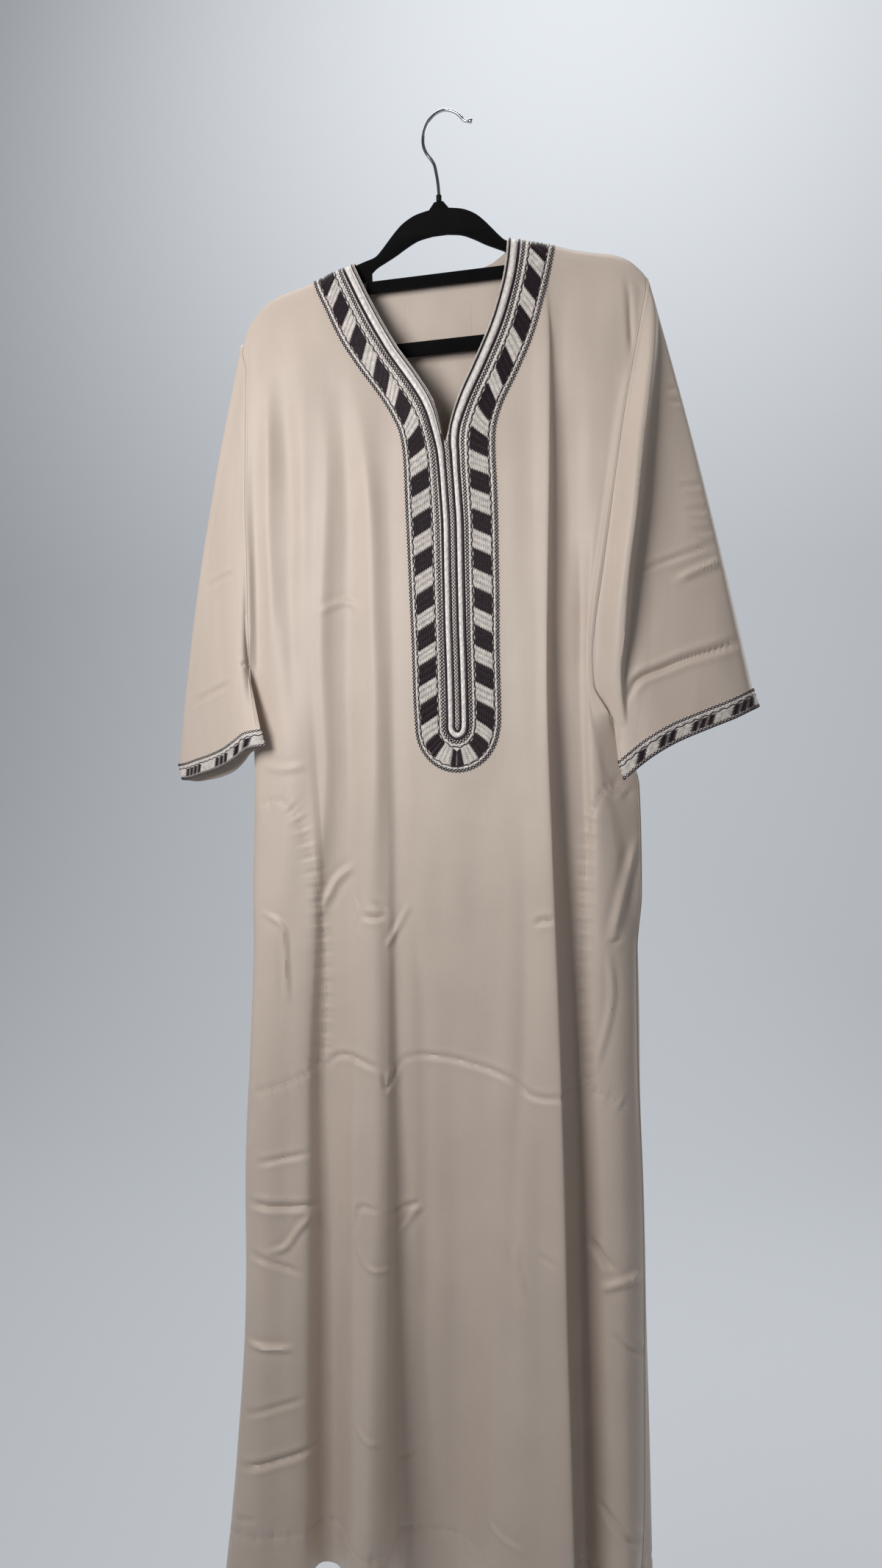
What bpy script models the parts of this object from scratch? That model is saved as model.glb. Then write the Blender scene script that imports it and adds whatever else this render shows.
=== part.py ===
"""Thobe robe hanging on a flat velvet suit hanger.

Frame: metres, +Z up, the robe's front faces -Y and +X is the viewer's right, which is the wearer's left.
The origin is the underside of the hook's crown, where the hook hangs on its peg.
Right and left in the names are the wearer's.

The body is two panels, front and back, each a grid of fold lines (running down the cloth) crossed by rows
(level heights). Every fold line starts on the shoulder seam, at its own seat on the hanger's arm. The neck
opening is cut out of the panels; the embroidered neck band and the pocket bags are lifted from the front
panel's own points. Each sleeve is a tube of rings between its armhole and its cuff.
"""
import math

import bmesh
import bpy
import numpy as np
from mathutils import Matrix, Vector

OBJECT_NAME = "thobe_robe_on_hanger"
MM = 0.001

# Cloth, in metres
CLOTH = 0.0015                # wall of every cloth panel
SEAM_GAP = 0.0003             # between two pieces that are sewn together
BAND_THICKNESS = 0.0010       # embroidery standing on the cloth
POCKET_CLOTH = 0.0010
POCKET_DEPTH = 0.0004         # pocket bag behind the front panel's inner face
UNDERARM_GAP = 0.0012         # more room where the side seam meets the armhole
UNDERARM_REACH = 22           # height over which that room closes (mm)
SEAM_TURN = 45                # height over which the armhole's edge turns into the side seam's (mm)
SEAM_STRIP = 0.003            # narrow strip beside each seam, so that two walls meet square
SLIT_TOP, SLIT_BOTTOM = -0.767, -0.900
SLIT_GAP = 0.0032             # pocket mouth left open in the side seam

# Hanger, in metres
HANGER_TILT = math.radians(1.4)
HANGER_SHIFT = -0.0045        # hanger's centre line, sideways from the hook's crown
HANGER_THICKNESS = 0.0046
ARM_UNDER_CLOTH = 0.0025      # arm's top edge below the cloth's outer face
WIRE_RADIUS = 0.0017
FERRULE_RADIUS = 0.0030
FERRULE_TOP, FERRULE_BOTTOM = -0.0905, -0.0972

# Outer face of the cloth along the hanger's arm: distance from the hanger's centre, height (mm)
SHOULDER_LINE = (
    (0, -147), (72, -147), (85, -150), (99, -154.5), (112, -158), (125, -162), (143, -168.5),
    (168, -175), (189, -180.5), (204, -189.5), (213, -199), (219, -208), (223, -217), (226, -228),
)

# Rows close to the shoulder seam: forward of the seam and below it (mm)
SHOULDER_ROWS = ((0.15, 0), (2, 0), (6, 4), (9, 14))
CHEST_HEIGHT, HEM_HEIGHT = -270, -1582
# Rows lower down, heights in mm; both underarm points lie on one
LEVEL_ROWS = (
    CHEST_HEIGHT, -305, -340, -380, -420, -460, -500, -540, -570, -583, -595, -610, -625, -641, -656, -690,
    -730, -767, -800, -840, -870, -900, -950, -1010, -1070, -1150, -1230, -1300, -1380, -1460, -1535,
    HEM_HEIGHT,
)
# Heights at which the fold tables give x and y (mm)
FOLD_LEVELS = (CHEST_HEIGHT, -380, -600, -840, -1070, -1300, HEM_HEIGHT)

# Front fold lines from the wearer's right side seam to the left one:
# name | seat on the hanger's arm | x at each fold level | y at each fold level (mm)
FRONT_FOLDS = (
    ("right roll", -215, (-211, -209, -205, -201, -206, -207, -218), (-15, -17, -14, -24, -32, -40, -56)),
    ("pleat, outer", -201, (-193, -191, -187, -183, -186, -188, -196), (-16, -19, -21, -32, -37, -46, -58)),
    ("pleat, inner", -185, (-174, -172, -168, -160, -164, -167, -172), (-17, -20, -27, -36, -36, -42, -50)),
    ("pleat edge", -169, (-156, -152, -148, -132, -140, -140, -141), (-20, -24, -28, -34, -33, -36, -36)),
    ("right recess", -154, (-140, -138, -134, -124, -131, -131, -130), (-20, -23, -26, -27, -18, -14, -12)),
    ("right floor", -139, (-124, -122, -118, -112, -115, -116, -114), (-19, -22, -25, -26, -18, -14, -12)),
    ("roll rise", -122, (-108, -106, -102, -98, -99, -100, -99), (-19, -22, -26, -29, -27, -28, -32)),
    ("roll crease", -106, (-94, -92, -90, -87, -86, -84, -80), (-19, -23, -28, -33, -38, -45, -62)),
    ("roll crest", -88, (-78, -75, -72, -69, -67, -66, -62), (-18, -23, -30, -36, -42, -50, -68)),
    ("roll edge", -72, (-62, -60, -57, -51, -50, -49, -46), (-17, -22, -30, -34, -38, -42, -52)),
    ("valley rim", -56, (-50, -48, -46, -42, -42, -43, -41), (-17, -22, -29, -30, -26, -18, -6)),
    ("placket, right", -40, (-36, -33, -25, -22, -20, -22, -25), (-18, -24, -31, -32, -25, -14, 0)),
    ("placket, mid right", -18, (-14, -11, -2, 0, 2, 1, -2), (-18, -24, -33, -34, -26, -15, 1)),
    ("placket centre", 6, (8, 10, 21, 23, 24, 23, 21), (-18, -24, -34, -36, -28, -17, -1)),
    ("placket, mid left", 30, (34, 36, 45, 46, 46, 45, 42), (-18, -25, -34, -38, -34, -28, -24)),
    ("placket, left", 54, (58, 62, 69, 68, 67, 65, 62), (-18, -25, -35, -40, -40, -42, -52)),
    ("broad face", 75, (80, 84, 88, 88, 88, 88, 86), (-18, -26, -37, -43, -46, -52, -62)),
    ("pressed crease", 93, (98, 102, 107, 108, 109, 114, 116), (-19, -27, -40, -47, -50, -56, -66)),
    ("ridge", 108, (120, 121, 120, 128, 137, 143, 152), (-21, -30, -42, -50, -55, -60, -68)),
    ("ridge, tucked", 119, (121.5, 121, 118.5, 126, 134, 139, 147), (-18, -26, -36, -42, -45, -49, -54)),
    ("left recess wall", 130, (125, 124.5, 122.5, 129, 136, 140.5, 148), (-16, -20, -27, -28, -27, -26, -28)),
    ("left recess floor", 141, (132, 135, 135, 141, 147, 151, 157), (-15, -17, -22, -21, -17, -14, -16)),
    ("left recess rim", 153, (142, 147, 149, 156, 159, 162, 168), (-16, -18, -24, -26, -23, -21, -24)),
    ("left face, inner", 168, (160, 161, 154, 172, 176, 180, 185), (-18, -21, -27, -32, -30, -32, -38)),
    ("left face, outer", 185, (178, 174, 157.5, 190, 194, 198, 201), (-19, -22, -30, -28, -30, -34, -40)),
    ("left roll", 201, (197, 185, 160.5, 203, 206, 210, 209), (-18, -23, -30, -19, -22, -26, -34)),
)

# Back fold lines in the same order and form
BACK_FOLDS = (
    ("right roll", -215, (-212, -211, -205, -201, -206, -208, -214), (10, 12, 9, 6, 8, 8, 0)),
    ("right fold", -201, (-188, -186, -182, -180, -184, -186, -188), (13, 17, 20, 22, 26, 28, 28)),
    ("right crest", -185, (-158, -156, -152, -152, -154, -156, -158), (14, 19, 24, 27, 31, 36, 46)),
    ("right dip", -154, (-126, -125, -123, -122, -123, -124, -126), (14, 18, 22, 24, 25, 27, 30)),
    ("mid right crest", -122, (-95, -94, -92, -91, -92, -92, -94), (14, 19, 25, 29, 35, 41, 52)),
    ("mid right dip", -88, (-64, -63, -61, -60, -60, -60, -62), (14, 19, 23, 25, 27, 30, 34)),
    ("centre right crest", -38, (-32, -31, -29, -28, -28, -28, -29), (14, 19, 25, 30, 36, 43, 53)),
    ("centre dip", -4, (0, 1, 2, 3, 4, 4, 4), (14, 18, 23, 26, 28, 30, 32)),
    ("centre left crest", 30, (33, 34, 35, 35, 36, 37, 38), (14, 20, 26, 31, 37, 44, 55)),
    ("mid left dip", 75, (66, 67, 67, 67, 68, 69, 70), (14, 19, 23, 26, 28, 31, 34)),
    ("mid left crest", 93, (98, 99, 99, 100, 101, 102, 104), (14, 20, 26, 30, 35, 42, 52)),
    ("left dip", 130, (130, 131, 130, 131, 133, 134, 136), (14, 19, 22, 25, 27, 29, 32)),
    ("left crest", 168, (161, 161, 160, 163, 166, 169, 172), (14, 19, 22, 27, 32, 38, 46)),
    ("left fold", 185, (188, 186, 182, 191, 195, 199, 204), (12, 17, 17, 21, 24, 27, 30)),
    ("left roll", 201, (207, 203, 192, 208, 213, 219, 226), (10, 13, 8, 6, 8, 10, 8)),
)

# Seats of the two armholes' tops on the hanger's arm (mm)
ARMHOLE_SEAT = {"right": -226, "left": 218}
# Armhole edge, below its top: height | x, y of the front edge | x, y of the back edge (mm)
ARMHOLE = {
    "right": (
        (-270, -219.5, -12, -224, 9), (-340, -219, -16, -223, 12), (-420, -218.5, -18, -222, 14),
        (-500, -215.5, -19, -221, 12), (-540, -215, -18.5, -220, 9), (-570, -214.5, -17, -217.5, 2),
        (-595, -213.5, -13, -213.5, -13),
    ),
    "left": (
        (-270, 209.5, -17, 214, 10), (-340, 198, -24, 211, 14), (-420, 187, -29, 209, 16),
        (-500, 177, -32, 206, 15), (-570, 167.5, -33, 201, 10), (-595, 165, -33, 198, 5),
        (-625, 167, -32, 192, -9), (-656, 182, -29, 182, -29),
    ),
}
# Side seam, from the underarm to the hem: height | x, y (mm)
SIDE_SEAM = {
    "right": (
        (-595, -213.5, -13), (-610, -215, -6), (-625, -215.4, -4), (-656, -214, -4), (-690, -210.5, -6),
        (-730, -209.4, -7), (-840, -209.2, -9), (-900, -209.2, -10), (-1010, -212.4, -13), (-1150, -217, -16),
        (-1300, -214, -20), (-1460, -221, -30), (-1582, -228.5, -42),
    ),
    "left": (
        (-656, 182, -29), (-668, 184.5, -20), (-690, 197, -12), (-730, 211, -7), (-840, 213.5, -6),
        (-900, 209, -6), (-1010, 210, -7), (-1150, 215, -8), (-1300, 217, -10), (-1460, 217, -14),
        (-1582, 212, -18),
    ),
}
# Lower edge of each cuff's front half, from the outer fold to the underarm seam: x, y, height (mm)
CUFF_EDGE = {
    "right": (
        (-328, 60, -723), (-312, 47, -722), (-286, 28, -717), (-262, 12, -712), (-240, -5, -706),
        (-222, -20, -698), (-207, -31, -690), (-187, -39, -687),
    ),
    "left": (
        (331, -8, -650), (308, -18, -662), (286, -23, -671), (249, -30, -687), (223, -37, -703),
        (207, -42, -716), (198, -43, -724),
    ),
}
CUFF_RISE = {"right": (-5, 0, 19), "left": (-6, 0, 19)}      # from the cuff's edge to its band's top (mm)
CUFF_OPENING = {"right": 20, "left": 22}                     # between a cuff's front and back halves (mm)
CUFF_BACK_DROP = {"right": -7, "left": 3}                    # back half's edge against the front one's (mm)
INNER_PINCH = 0.62                                           # share of the cuff where its inner fold tapers
INNER_FOLD = 2.8                                             # half the space kept in the inner fold (mm)
INNER_FOLD_SHARE = 0.025  # of the cuff, from its inner fold to the next line
OUTER_PINCH_SHARE, INNER_PINCH_SHARE = 0.02, 0.008           # of the cuff, over which each fold closes
UNDERARM_LEAVE = {"right": (-0.7, -0.4, 0), "left": (0.7, 0, 0.3)}    # added to the way to the cuff
UNDERARM_TURN = 0.88                                         # share of the armhole where that begins
UNDERARM_STEP = 0.4                                          # strip beside the seam, this much wider there
UNDERARM_EASE = 0.8  # sleeve's underarm, wider than the seam there (mm)
OUTER_FOLD_BULGE = {"right": 9, "left": 4}                   # outer fold, out of the straight line (mm)
SLEEVE_RINGS = 12

# Forward roll of the left sleeve beside the armhole: height | seam x | x of the roll's edge | depth (mm)
LEFT_ROLL = (
    (-215, 214, 228, 0), (-268, 210, 230, 8), (-326, 200, 226, 15), (-385, 191, 220, 20),
    (-451, 184, 214, 23), (-517, 175, 206, 23), (-568, 168, 202, 18), (-620, 168, 197, 10),
    (-670, 184, 200, 0),
)
ROLL_DROP = 5                                                # width over which the roll falls away (mm)
ROLL_REACH = 0.7  # of a sleeve line, the farthest the roll's edge goes
ROLL_START = 0.03                                            # of a sleeve line, the nearest
ROLL_RISE = 0.8  # of the way to the roll's edge, where it is full
ROLL_EASE = 0.9                                              # share of the armhole where the roll has gone

# Neck opening, as seen from the front: x, height (mm). Both edges meet in the slit's end.
NECK_EDGE_RIGHT = (
    (-99, -130), (-97, -157), (-89, -174), (-80, -193), (-62, -227), (-45, -256), (-28, -280),
    (-12, -304), (-4, -318), (1, -335), (6, -356), (8.5, -364),
)
NECK_EDGE_LEFT = (
    (10, -364), (12, -356), (16, -338), (23, -316), (33, -294), (45, -267), (53, -248), (60, -228),
    (66, -206), (70, -189), (73, -166), (74, -130),
)
BACK_NECK_EDGE = (
    (-97, -130), (-96, -160), (-86, -178), (-68, -186), (-40, -188.5), (0, -186.5), (38, -180),
    (56, -171), (69, -159), (73, -146), (73, -130),
)
# Outer edge of the embroidered neck band, down each side and round its foot
BAND_EDGE_RIGHT = (
    (-146, -130), (-143, -173), (-126, -211), (-108, -247), (-87, -279), (-63, -312), (-50, -333),
    (-41, -352), (-36.5, -377), (-34, -420), (-25, -583), (-23, -640), (-21, -667),
)
BAND_EDGE_LEFT = (
    (70, -667), (70, -640), (68.5, -586), (62.5, -420), (61.5, -388), (64, -352), (71, -329), (87, -296),
    (105, -253), (117, -203), (124, -165), (125, -130),
)
BAND_FOOT = (24.5, -667, 45.5, 49)                           # centre x, centre height, half width, drop
# Pocket bags inside the front: x, height (mm), from the side seam round the inner edge
POCKET_OUTLINE = {
    "right": (
        (-199, -750), (-172, -746), (-152, -764), (-137, -808), (-128, -859), (-123, -937), (-124, -990),
        (-135, -1035), (-157, -1049), (-199, -1064),
    ),
    "left": (
        (200, -738), (184, -728), (172, -742), (161, -775), (156, -824), (154, -884), (153, -949),
        (155, -990), (162, -1040), (182, -1048), (200, -1059),
    ),
}

# Hanger's outline in its own frame: x, height (mm), right half only; the left half mirrors it
ARM_TOP = ((0, -98), (5, -98), (7.5, -101.5), (11, -106), (16, -106.8), (28, -109.8), (41, -117),
           (50, -125.5), (58, -134.5), (65, -142.5), (72, -149))
ARM_END = ((219, -224), (220, -234), (219, -245), (213, -255), (203, -261), (188, -261.5))
ARCH = ((77, -175.5), (77, -165), (71, -160), (61, -155), (49, -149), (37, -142), (24, -136), (8, -133.2))
ARM_UNDERSIDE = ((83, -187.5), (83, -173), (100, -178), (125, -185), (150, -192), (175, -198), (190, -204),
                 (201, -214), (206, -226), (205, -237), (198, -245), (186, -247))
# Hook wire's centre line: x, height (mm)
HOOK_ROUTE = (
    (35, -13.5), (30, -13.6), (26, -12.4), (22, -8), (17, -3), (10, 0.6), (2, 1.7), (-6, -1), (-13, -7),
    (-18, -17), (-20, -28), (-19, -36), (-16, -43), (-11, -50), (-7.5, -56), (-5.5, -64), (-3.4, -76),
    (-2.4, -86), (-2.2, -90), (-2.2, -97.4),
)
HOOK_POINTS = 40
BALL_RADIUS = 0.0026
BALL_TURNS = np.linspace(math.pi, 0.35, 5)                   # angles of the ball's rings, tip to neck
TIP_RADIUS = 0.3                                             # of the wire's radius, at the ball's flat tip
BALL_NECK = 1.4  # wire's first full point, times the last ring's place
HANGER_EDGE = 0.0009                                         # softening of the frame's edges
MERGE = 0.00001                                              # points closer than this are one
NECK_CUT, BACK_NECK_CUT = (-0.09, 0.004), (-0.004, 0.09)     # from front to back (m)
BAND_CUT, POCKET_CUT = (-0.11, 0.006), (-0.10, 0.05)

COLOURS = {                                                  # base colour, roughness, metallic
    "cloth": ((0.58, 0.49, 0.42, 1), 0.55, 0.0),
    "embroidery": ((0.30, 0.25, 0.25, 1), 0.6, 0.0),
    "velvet": ((0.008, 0.008, 0.009, 1), 0.95, 0.0),
    "chrome": ((0.62, 0.63, 0.66, 1), 0.18, 1.0),
    "collar": ((0.01, 0.01, 0.011, 1), 0.5, 0.0),
}


def smooth_curve(knots, values, at):
    """Monotone cubic through values at rising knots, read at one place or many."""
    x = np.asarray(knots, float)
    y = np.asarray(values, float)
    step = np.diff(x)
    slope = np.diff(y) / step
    tangent = np.zeros(len(x))
    tangent[0], tangent[-1] = slope[0], slope[-1]
    for i in range(1, len(x) - 1):
        if slope[i - 1] * slope[i] > 0:
            w1 = 2 * step[i] + step[i - 1]
            w2 = step[i] + 2 * step[i - 1]
            tangent[i] = (w1 + w2) / (w1 / slope[i - 1] + w2 / slope[i])
    at = np.asarray(at, float)
    k = np.clip(np.searchsorted(x, at) - 1, 0, len(step) - 1)
    t = np.clip((at - x[k]) / step[k], 0, 1)
    a = (1 + 2 * t) * (1 - t) ** 2
    b = t * (1 - t) ** 2
    c = t * t * (3 - 2 * t)
    d = t * t * (t - 1)
    return a * y[k] + b * step[k] * tangent[k] + c * y[k + 1] + d * step[k] * tangent[k + 1]


def blend(start, end, at):
    """0 at start, 1 at end, smooth between."""
    t = min(max((at - start) / (end - start), 0), 1)
    return t * t * (3 - 2 * t)


def on_hanger(x, z):
    """Hanger-frame x and height (mm) to the robe's x and height (mm)."""
    cosine, sine = math.cos(HANGER_TILT), math.sin(HANGER_TILT)
    return x * cosine - z * sine + HANGER_SHIFT / MM, x * sine + z * cosine


def shoulder_height(seat):
    """Height (mm) of the cloth over a seat on the hanger's arm, in the hanger's frame."""
    places, heights = zip(*SHOULDER_LINE)
    return float(smooth_curve(places, heights, abs(seat)))


def shoulder_point(seat):
    """x and height (mm) of the shoulder seam above a seat on the hanger's arm."""
    return on_hanger(seat, shoulder_height(seat))


def row_heights(seat):
    """Heights (mm) of all rows of a fold line that starts at this seat."""
    top = shoulder_point(seat)[1]
    heights = [top - drop for _, drop in SHOULDER_ROWS]
    heights.append((heights[-1] + CHEST_HEIGHT) / 2)
    return np.array(heights + list(LEVEL_ROWS))


def read_down(heights, values, at):
    """Smooth curve over falling heights."""
    return smooth_curve([-h for h in heights], values, -np.asarray(at, float))


def fold_line(fold, face):
    """Points (mm) down one fold line; face is -1 on the front and +1 on the back."""
    _, seat, xs, ys = fold
    top_x, _ = shoulder_point(seat)
    heights = row_heights(seat)
    count = len(SHOULDER_ROWS)
    last_out = SHOULDER_ROWS[-1][0]
    knots = (heights[count - 1],) + FOLD_LEVELS
    x = read_down(knots, (top_x,) + xs, heights)
    y = read_down(knots, (face * last_out,) + ys, heights)
    y[:count] = [face * out for out, _ in SHOULDER_ROWS]
    return np.column_stack([x, y, heights])


def slit_opening(height):
    """How far the pocket mouth is open at this height (mm)."""
    t = (height * MM - SLIT_BOTTOM) / (SLIT_TOP - SLIT_BOTTOM)
    return SLIT_GAP / MM * math.sin(math.pi * t) if 0 < t < 1 else 0.0


def edge_lines(side, face):
    """The seam edge of a panel and the strip line beside it (mm)."""
    seat = ARMHOLE_SEAT[side]
    inward = 1 if side == "right" else -1
    column = 1 if face < 0 else 3
    underarm = ARMHOLE[side][-1][0]
    count = len(SHOULDER_ROWS)
    heights = row_heights(seat)
    top_x, _ = shoulder_point(seat)
    arm = [(heights[count - 1], top_x, face * SHOULDER_ROWS[-1][0])]
    arm += [(row[0], row[column], row[column + 1]) for row in ARMHOLE[side]]
    arm_z, arm_x, arm_y = zip(*arm)
    side_z, side_x, side_y = zip(*SIDE_SEAM[side])
    edge, strip = [], []
    for i, height in enumerate(heights):
        if height >= underarm:
            x, y = float(read_down(arm_z, arm_x, height)), float(read_down(arm_z, arm_y, height))
        else:
            x, y = float(read_down(side_z, side_x, height)), float(read_down(side_z, side_y, height))
        turned = blend(underarm + SEAM_TURN, underarm, height)
        spare = UNDERARM_GAP * blend(UNDERARM_REACH, 0, abs(height - underarm))
        y += face * (SEAM_GAP / 2 + spare) / MM * turned
        if face < 0:
            y -= slit_opening(height)
        if i < count:
            x, y = top_x, face * SHOULDER_ROWS[i][0]
        edge.append((x, y, height))
        reach = SEAM_STRIP / MM
        across = inward * reach * (1 - turned)
        strip.append((x + across, y + face * reach * turned, height))
    return np.array(edge), np.array(strip)


def top_strip(side, face, strip):
    """Move the first rows of a strip line onto the shoulder, so that it follows the arm's curve."""
    inward = 1 if side == "right" else -1
    seat = ARMHOLE_SEAT[side] + inward * SEAM_STRIP / MM
    x, z = shoulder_point(seat)
    for i, (out, drop) in enumerate(SHOULDER_ROWS):
        strip[i] = (x, face * out, z - drop)
    return strip


def panel_grid(folds, face):
    """Grid of points (mm): fold lines from the wearer's right to left, rows from the shoulder to the hem."""
    right_edge, right_strip = edge_lines("right", face)
    left_edge, left_strip = edge_lines("left", face)
    lines = [right_edge, top_strip("right", face, right_strip)]
    lines += [fold_line(fold, face) for fold in folds]
    lines += [top_strip("left", face, left_strip), left_edge]
    return np.array(lines)


def surface_mesh(name, grid, flip, ring=False):
    """Triangulated open surface through a grid of points given in mm."""
    mesh = bpy.data.meshes.new(name)
    bm = bmesh.new()
    lines, rows = grid.shape[:2]
    verts = [[bm.verts.new(Vector(point) * MM) for point in line] for line in grid]
    last = lines if ring else lines - 1
    for i in range(last):
        near, far = verts[i], verts[(i + 1) % lines]
        for j in range(rows - 1):
            corners = [near[j], far[j], far[j + 1], near[j + 1]]
            bm.faces.new(corners[::-1] if flip else corners)
    bmesh.ops.triangulate(bm, faces=bm.faces, quad_method="FIXED")
    bm.to_mesh(mesh)
    bm.free()
    return mesh


def finish_material(slot):
    """Material of this slot's colour, roughness and metallic."""
    colour, roughness, metallic = COLOURS[slot]
    material = bpy.data.materials.get(slot) or bpy.data.materials.new(slot)
    material.use_nodes = True
    shader = material.node_tree.nodes["Principled BSDF"]
    shader.inputs["Base Color"].default_value = colour
    shader.inputs["Roughness"].default_value = roughness
    shader.inputs["Metallic"].default_value = metallic
    return material


def add_piece(name, data, slot, parts):
    """New object for one sub-part, with a material of its own."""
    piece = bpy.data.objects.new(name, data)
    parts.objects.link(piece)
    material = finish_material(slot).copy()
    material.name = name
    data.materials.append(material)
    if isinstance(data, bpy.types.Mesh):
        piece.material_slots[0].link = "OBJECT"
        piece.material_slots[0].material = material
    return piece


def thicken(piece, thickness, offset):
    """Wall on an open surface. Offset -1 is inward, +1 outward; beyond that the wall stands clear."""
    wall = piece.modifiers.new("wall", "SOLIDIFY")
    wall.thickness = thickness
    wall.offset = offset
    wall.use_rim = True
    return wall


def prism(name, outline, reach, cutters):
    """Cutter with this outline (x, height in mm), reaching from front to back in y (metres)."""
    front, back = reach
    mesh = bpy.data.meshes.new(name)
    bm = bmesh.new()
    face = bm.faces.new([bm.verts.new((x * MM, front, z * MM)) for x, z in outline])
    grown = bmesh.ops.extrude_face_region(bm, geom=[face])
    moved = [item for item in grown["geom"] if isinstance(item, bmesh.types.BMVert)]
    bmesh.ops.translate(bm, verts=moved, vec=(0, back - front, 0))
    bmesh.ops.recalc_face_normals(bm, faces=bm.faces)
    bm.to_mesh(mesh)
    bm.free()
    cutter = bpy.data.objects.new(name, mesh)
    cutter.hide_render = True
    cutter.display_type = "WIRE"
    cutters.objects.link(cutter)
    return cutter


def cut(piece, cutter, operation):
    step = piece.modifiers.new(cutter.name, "BOOLEAN")
    step.object = cutter
    step.operation = operation
    step.solver = "EXACT"


def band_outline():
    """Keyhole outline of the neck band, clockwise from the wearer's right shoulder."""
    x, z, half, drop = BAND_FOOT
    foot = []
    for i in range(1, 12):
        angle = math.pi * i / 12
        foot.append((x - half * math.cos(angle), z - drop * math.sin(angle)))
    return list(BAND_EDGE_RIGHT) + foot + list(BAND_EDGE_LEFT)


def build_body(parts, cutters):
    """Front and back panels, neck band and pocket bags."""
    front_mesh = surface_mesh("front_panel", panel_grid(FRONT_FOLDS, -1), flip=True)
    back_mesh = surface_mesh("back_panel", panel_grid(BACK_FOLDS, 1), flip=False)
    neck = prism("neck_cutter", NECK_EDGE_RIGHT + NECK_EDGE_LEFT, NECK_CUT, cutters)
    back_neck = prism("back_neck_cutter", BACK_NECK_EDGE, BACK_NECK_CUT, cutters)
    band_shape = prism("band_cutter", band_outline(), BAND_CUT, cutters)

    front = add_piece("front_panel", front_mesh, "cloth", parts)
    thicken(front, CLOTH, -1)
    cut(front, neck, "DIFFERENCE")
    back = add_piece("back_panel", back_mesh, "cloth", parts)
    thicken(back, CLOTH, -1)
    cut(back, back_neck, "DIFFERENCE")

    band = add_piece("neck_band", front_mesh.copy(), "embroidery", parts)
    thicken(band, BAND_THICKNESS, 1 + 2 * SEAM_GAP / BAND_THICKNESS)
    cut(band, neck, "DIFFERENCE")
    cut(band, band_shape, "INTERSECT")

    inward = CLOTH + POCKET_DEPTH + POCKET_CLOTH
    for side, outline in POCKET_OUTLINE.items():
        shape = prism("pocket_cutter_" + side, outline, POCKET_CUT, cutters)
        pocket = add_piece("pocket_bag_" + side, front_mesh.copy(), "cloth", parts)
        thicken(pocket, POCKET_CLOTH, 1 - 2 * inward / POCKET_CLOTH)
        cut(pocket, shape, "INTERSECT")


def unit(vector):
    return vector / np.linalg.norm(vector)


def spread(route, fractions):
    """Points at these fractions of a route's length."""
    route = np.array(route, float)
    length = np.concatenate([[0], np.cumsum(np.linalg.norm(np.diff(route, axis=0), axis=1))])
    length /= length[-1]
    return np.column_stack([smooth_curve(length, route[:, k], fractions) for k in range(3)])


def fold_room(share, opening):
    """Half the space between a flattened tube's two halves, pinched at both folds."""
    near_outer = 1 - math.exp(-share / OUTER_PINCH_SHARE)
    near_inner = 1 - math.exp(-(1 - share) / INNER_PINCH_SHARE)
    room = INNER_FOLD + (opening / 2 - INNER_FOLD) * blend(1, INNER_PINCH, share)
    return room * near_outer * near_inner


def left_roll_depth(x, z):
    """How far the left sleeve's roll stands forward here (mm)."""
    heights, seams, edges, depths = zip(*LEFT_ROLL)
    seam = float(read_down(heights, seams, z))
    edge = float(read_down(heights, edges, z))
    depth = float(read_down(heights, depths, z))
    rise = blend(seam, seam + ROLL_RISE * (edge - seam), x)
    fall = 1 - blend(edge - ROLL_DROP / 2, edge + ROLL_DROP / 2, x)
    return depth * rise * fall


def ring_places(side, first, rise):
    """Places of the rings along a sleeve line, with two on either side of the left sleeve's roll."""
    if side == "right":
        return np.linspace(0, 1, SLEEVE_RINGS)
    heights, _, edges, _ = zip(*LEFT_ROLL)
    ways = np.linspace(ROLL_START, ROLL_REACH, 100)
    points = [first * (1 - way) + rise * way for way in ways]
    inside = [point[0] < float(read_down(heights, edges, point[2])) for point in points]
    edge = ways[inside.index(False)] if False in inside else ROLL_REACH
    step = 0.5 * ROLL_DROP / max(abs(rise[0] - first[0]), 4 * ROLL_DROP)
    before = np.linspace(0, edge - step, 4)
    return np.concatenate([before, np.linspace(edge + step, 1, SLEEVE_RINGS - 4)])


def armhole_loop(side):
    """Edge points of the armhole (mm), down the front from the shoulder to the underarm, and down the back.

    Also each front point's share of the way, which it keeps along the cuff.
    """
    underarm, x, y = ARMHOLE[side][-1][:3]
    front, _ = edge_lines(side, -1)
    back, _ = edge_lines(side, 1)
    last = int(np.argmin(abs(front[:, 2] - underarm)))
    front[last, 1] -= UNDERARM_EASE
    back[last, 1] += UNDERARM_EASE
    top_x, top_z = shoulder_point(ARMHOLE_SEAT[side])
    half = [np.array((top_x, 0.0, top_z))] + list(front[1:last + 1])
    steps = [np.linalg.norm(b - a) for a, b in zip(half, half[1:])]
    shares = np.concatenate([[0], np.cumsum(steps)]) / sum(steps) * (1 - 2 * INNER_FOLD_SHARE)
    shares[-1] = 1 - INNER_FOLD_SHARE
    half.append(np.array((x, y, underarm - UNDERARM_EASE)))
    return half, list(back[1:last + 1]), np.append(shares, 1.0)


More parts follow.
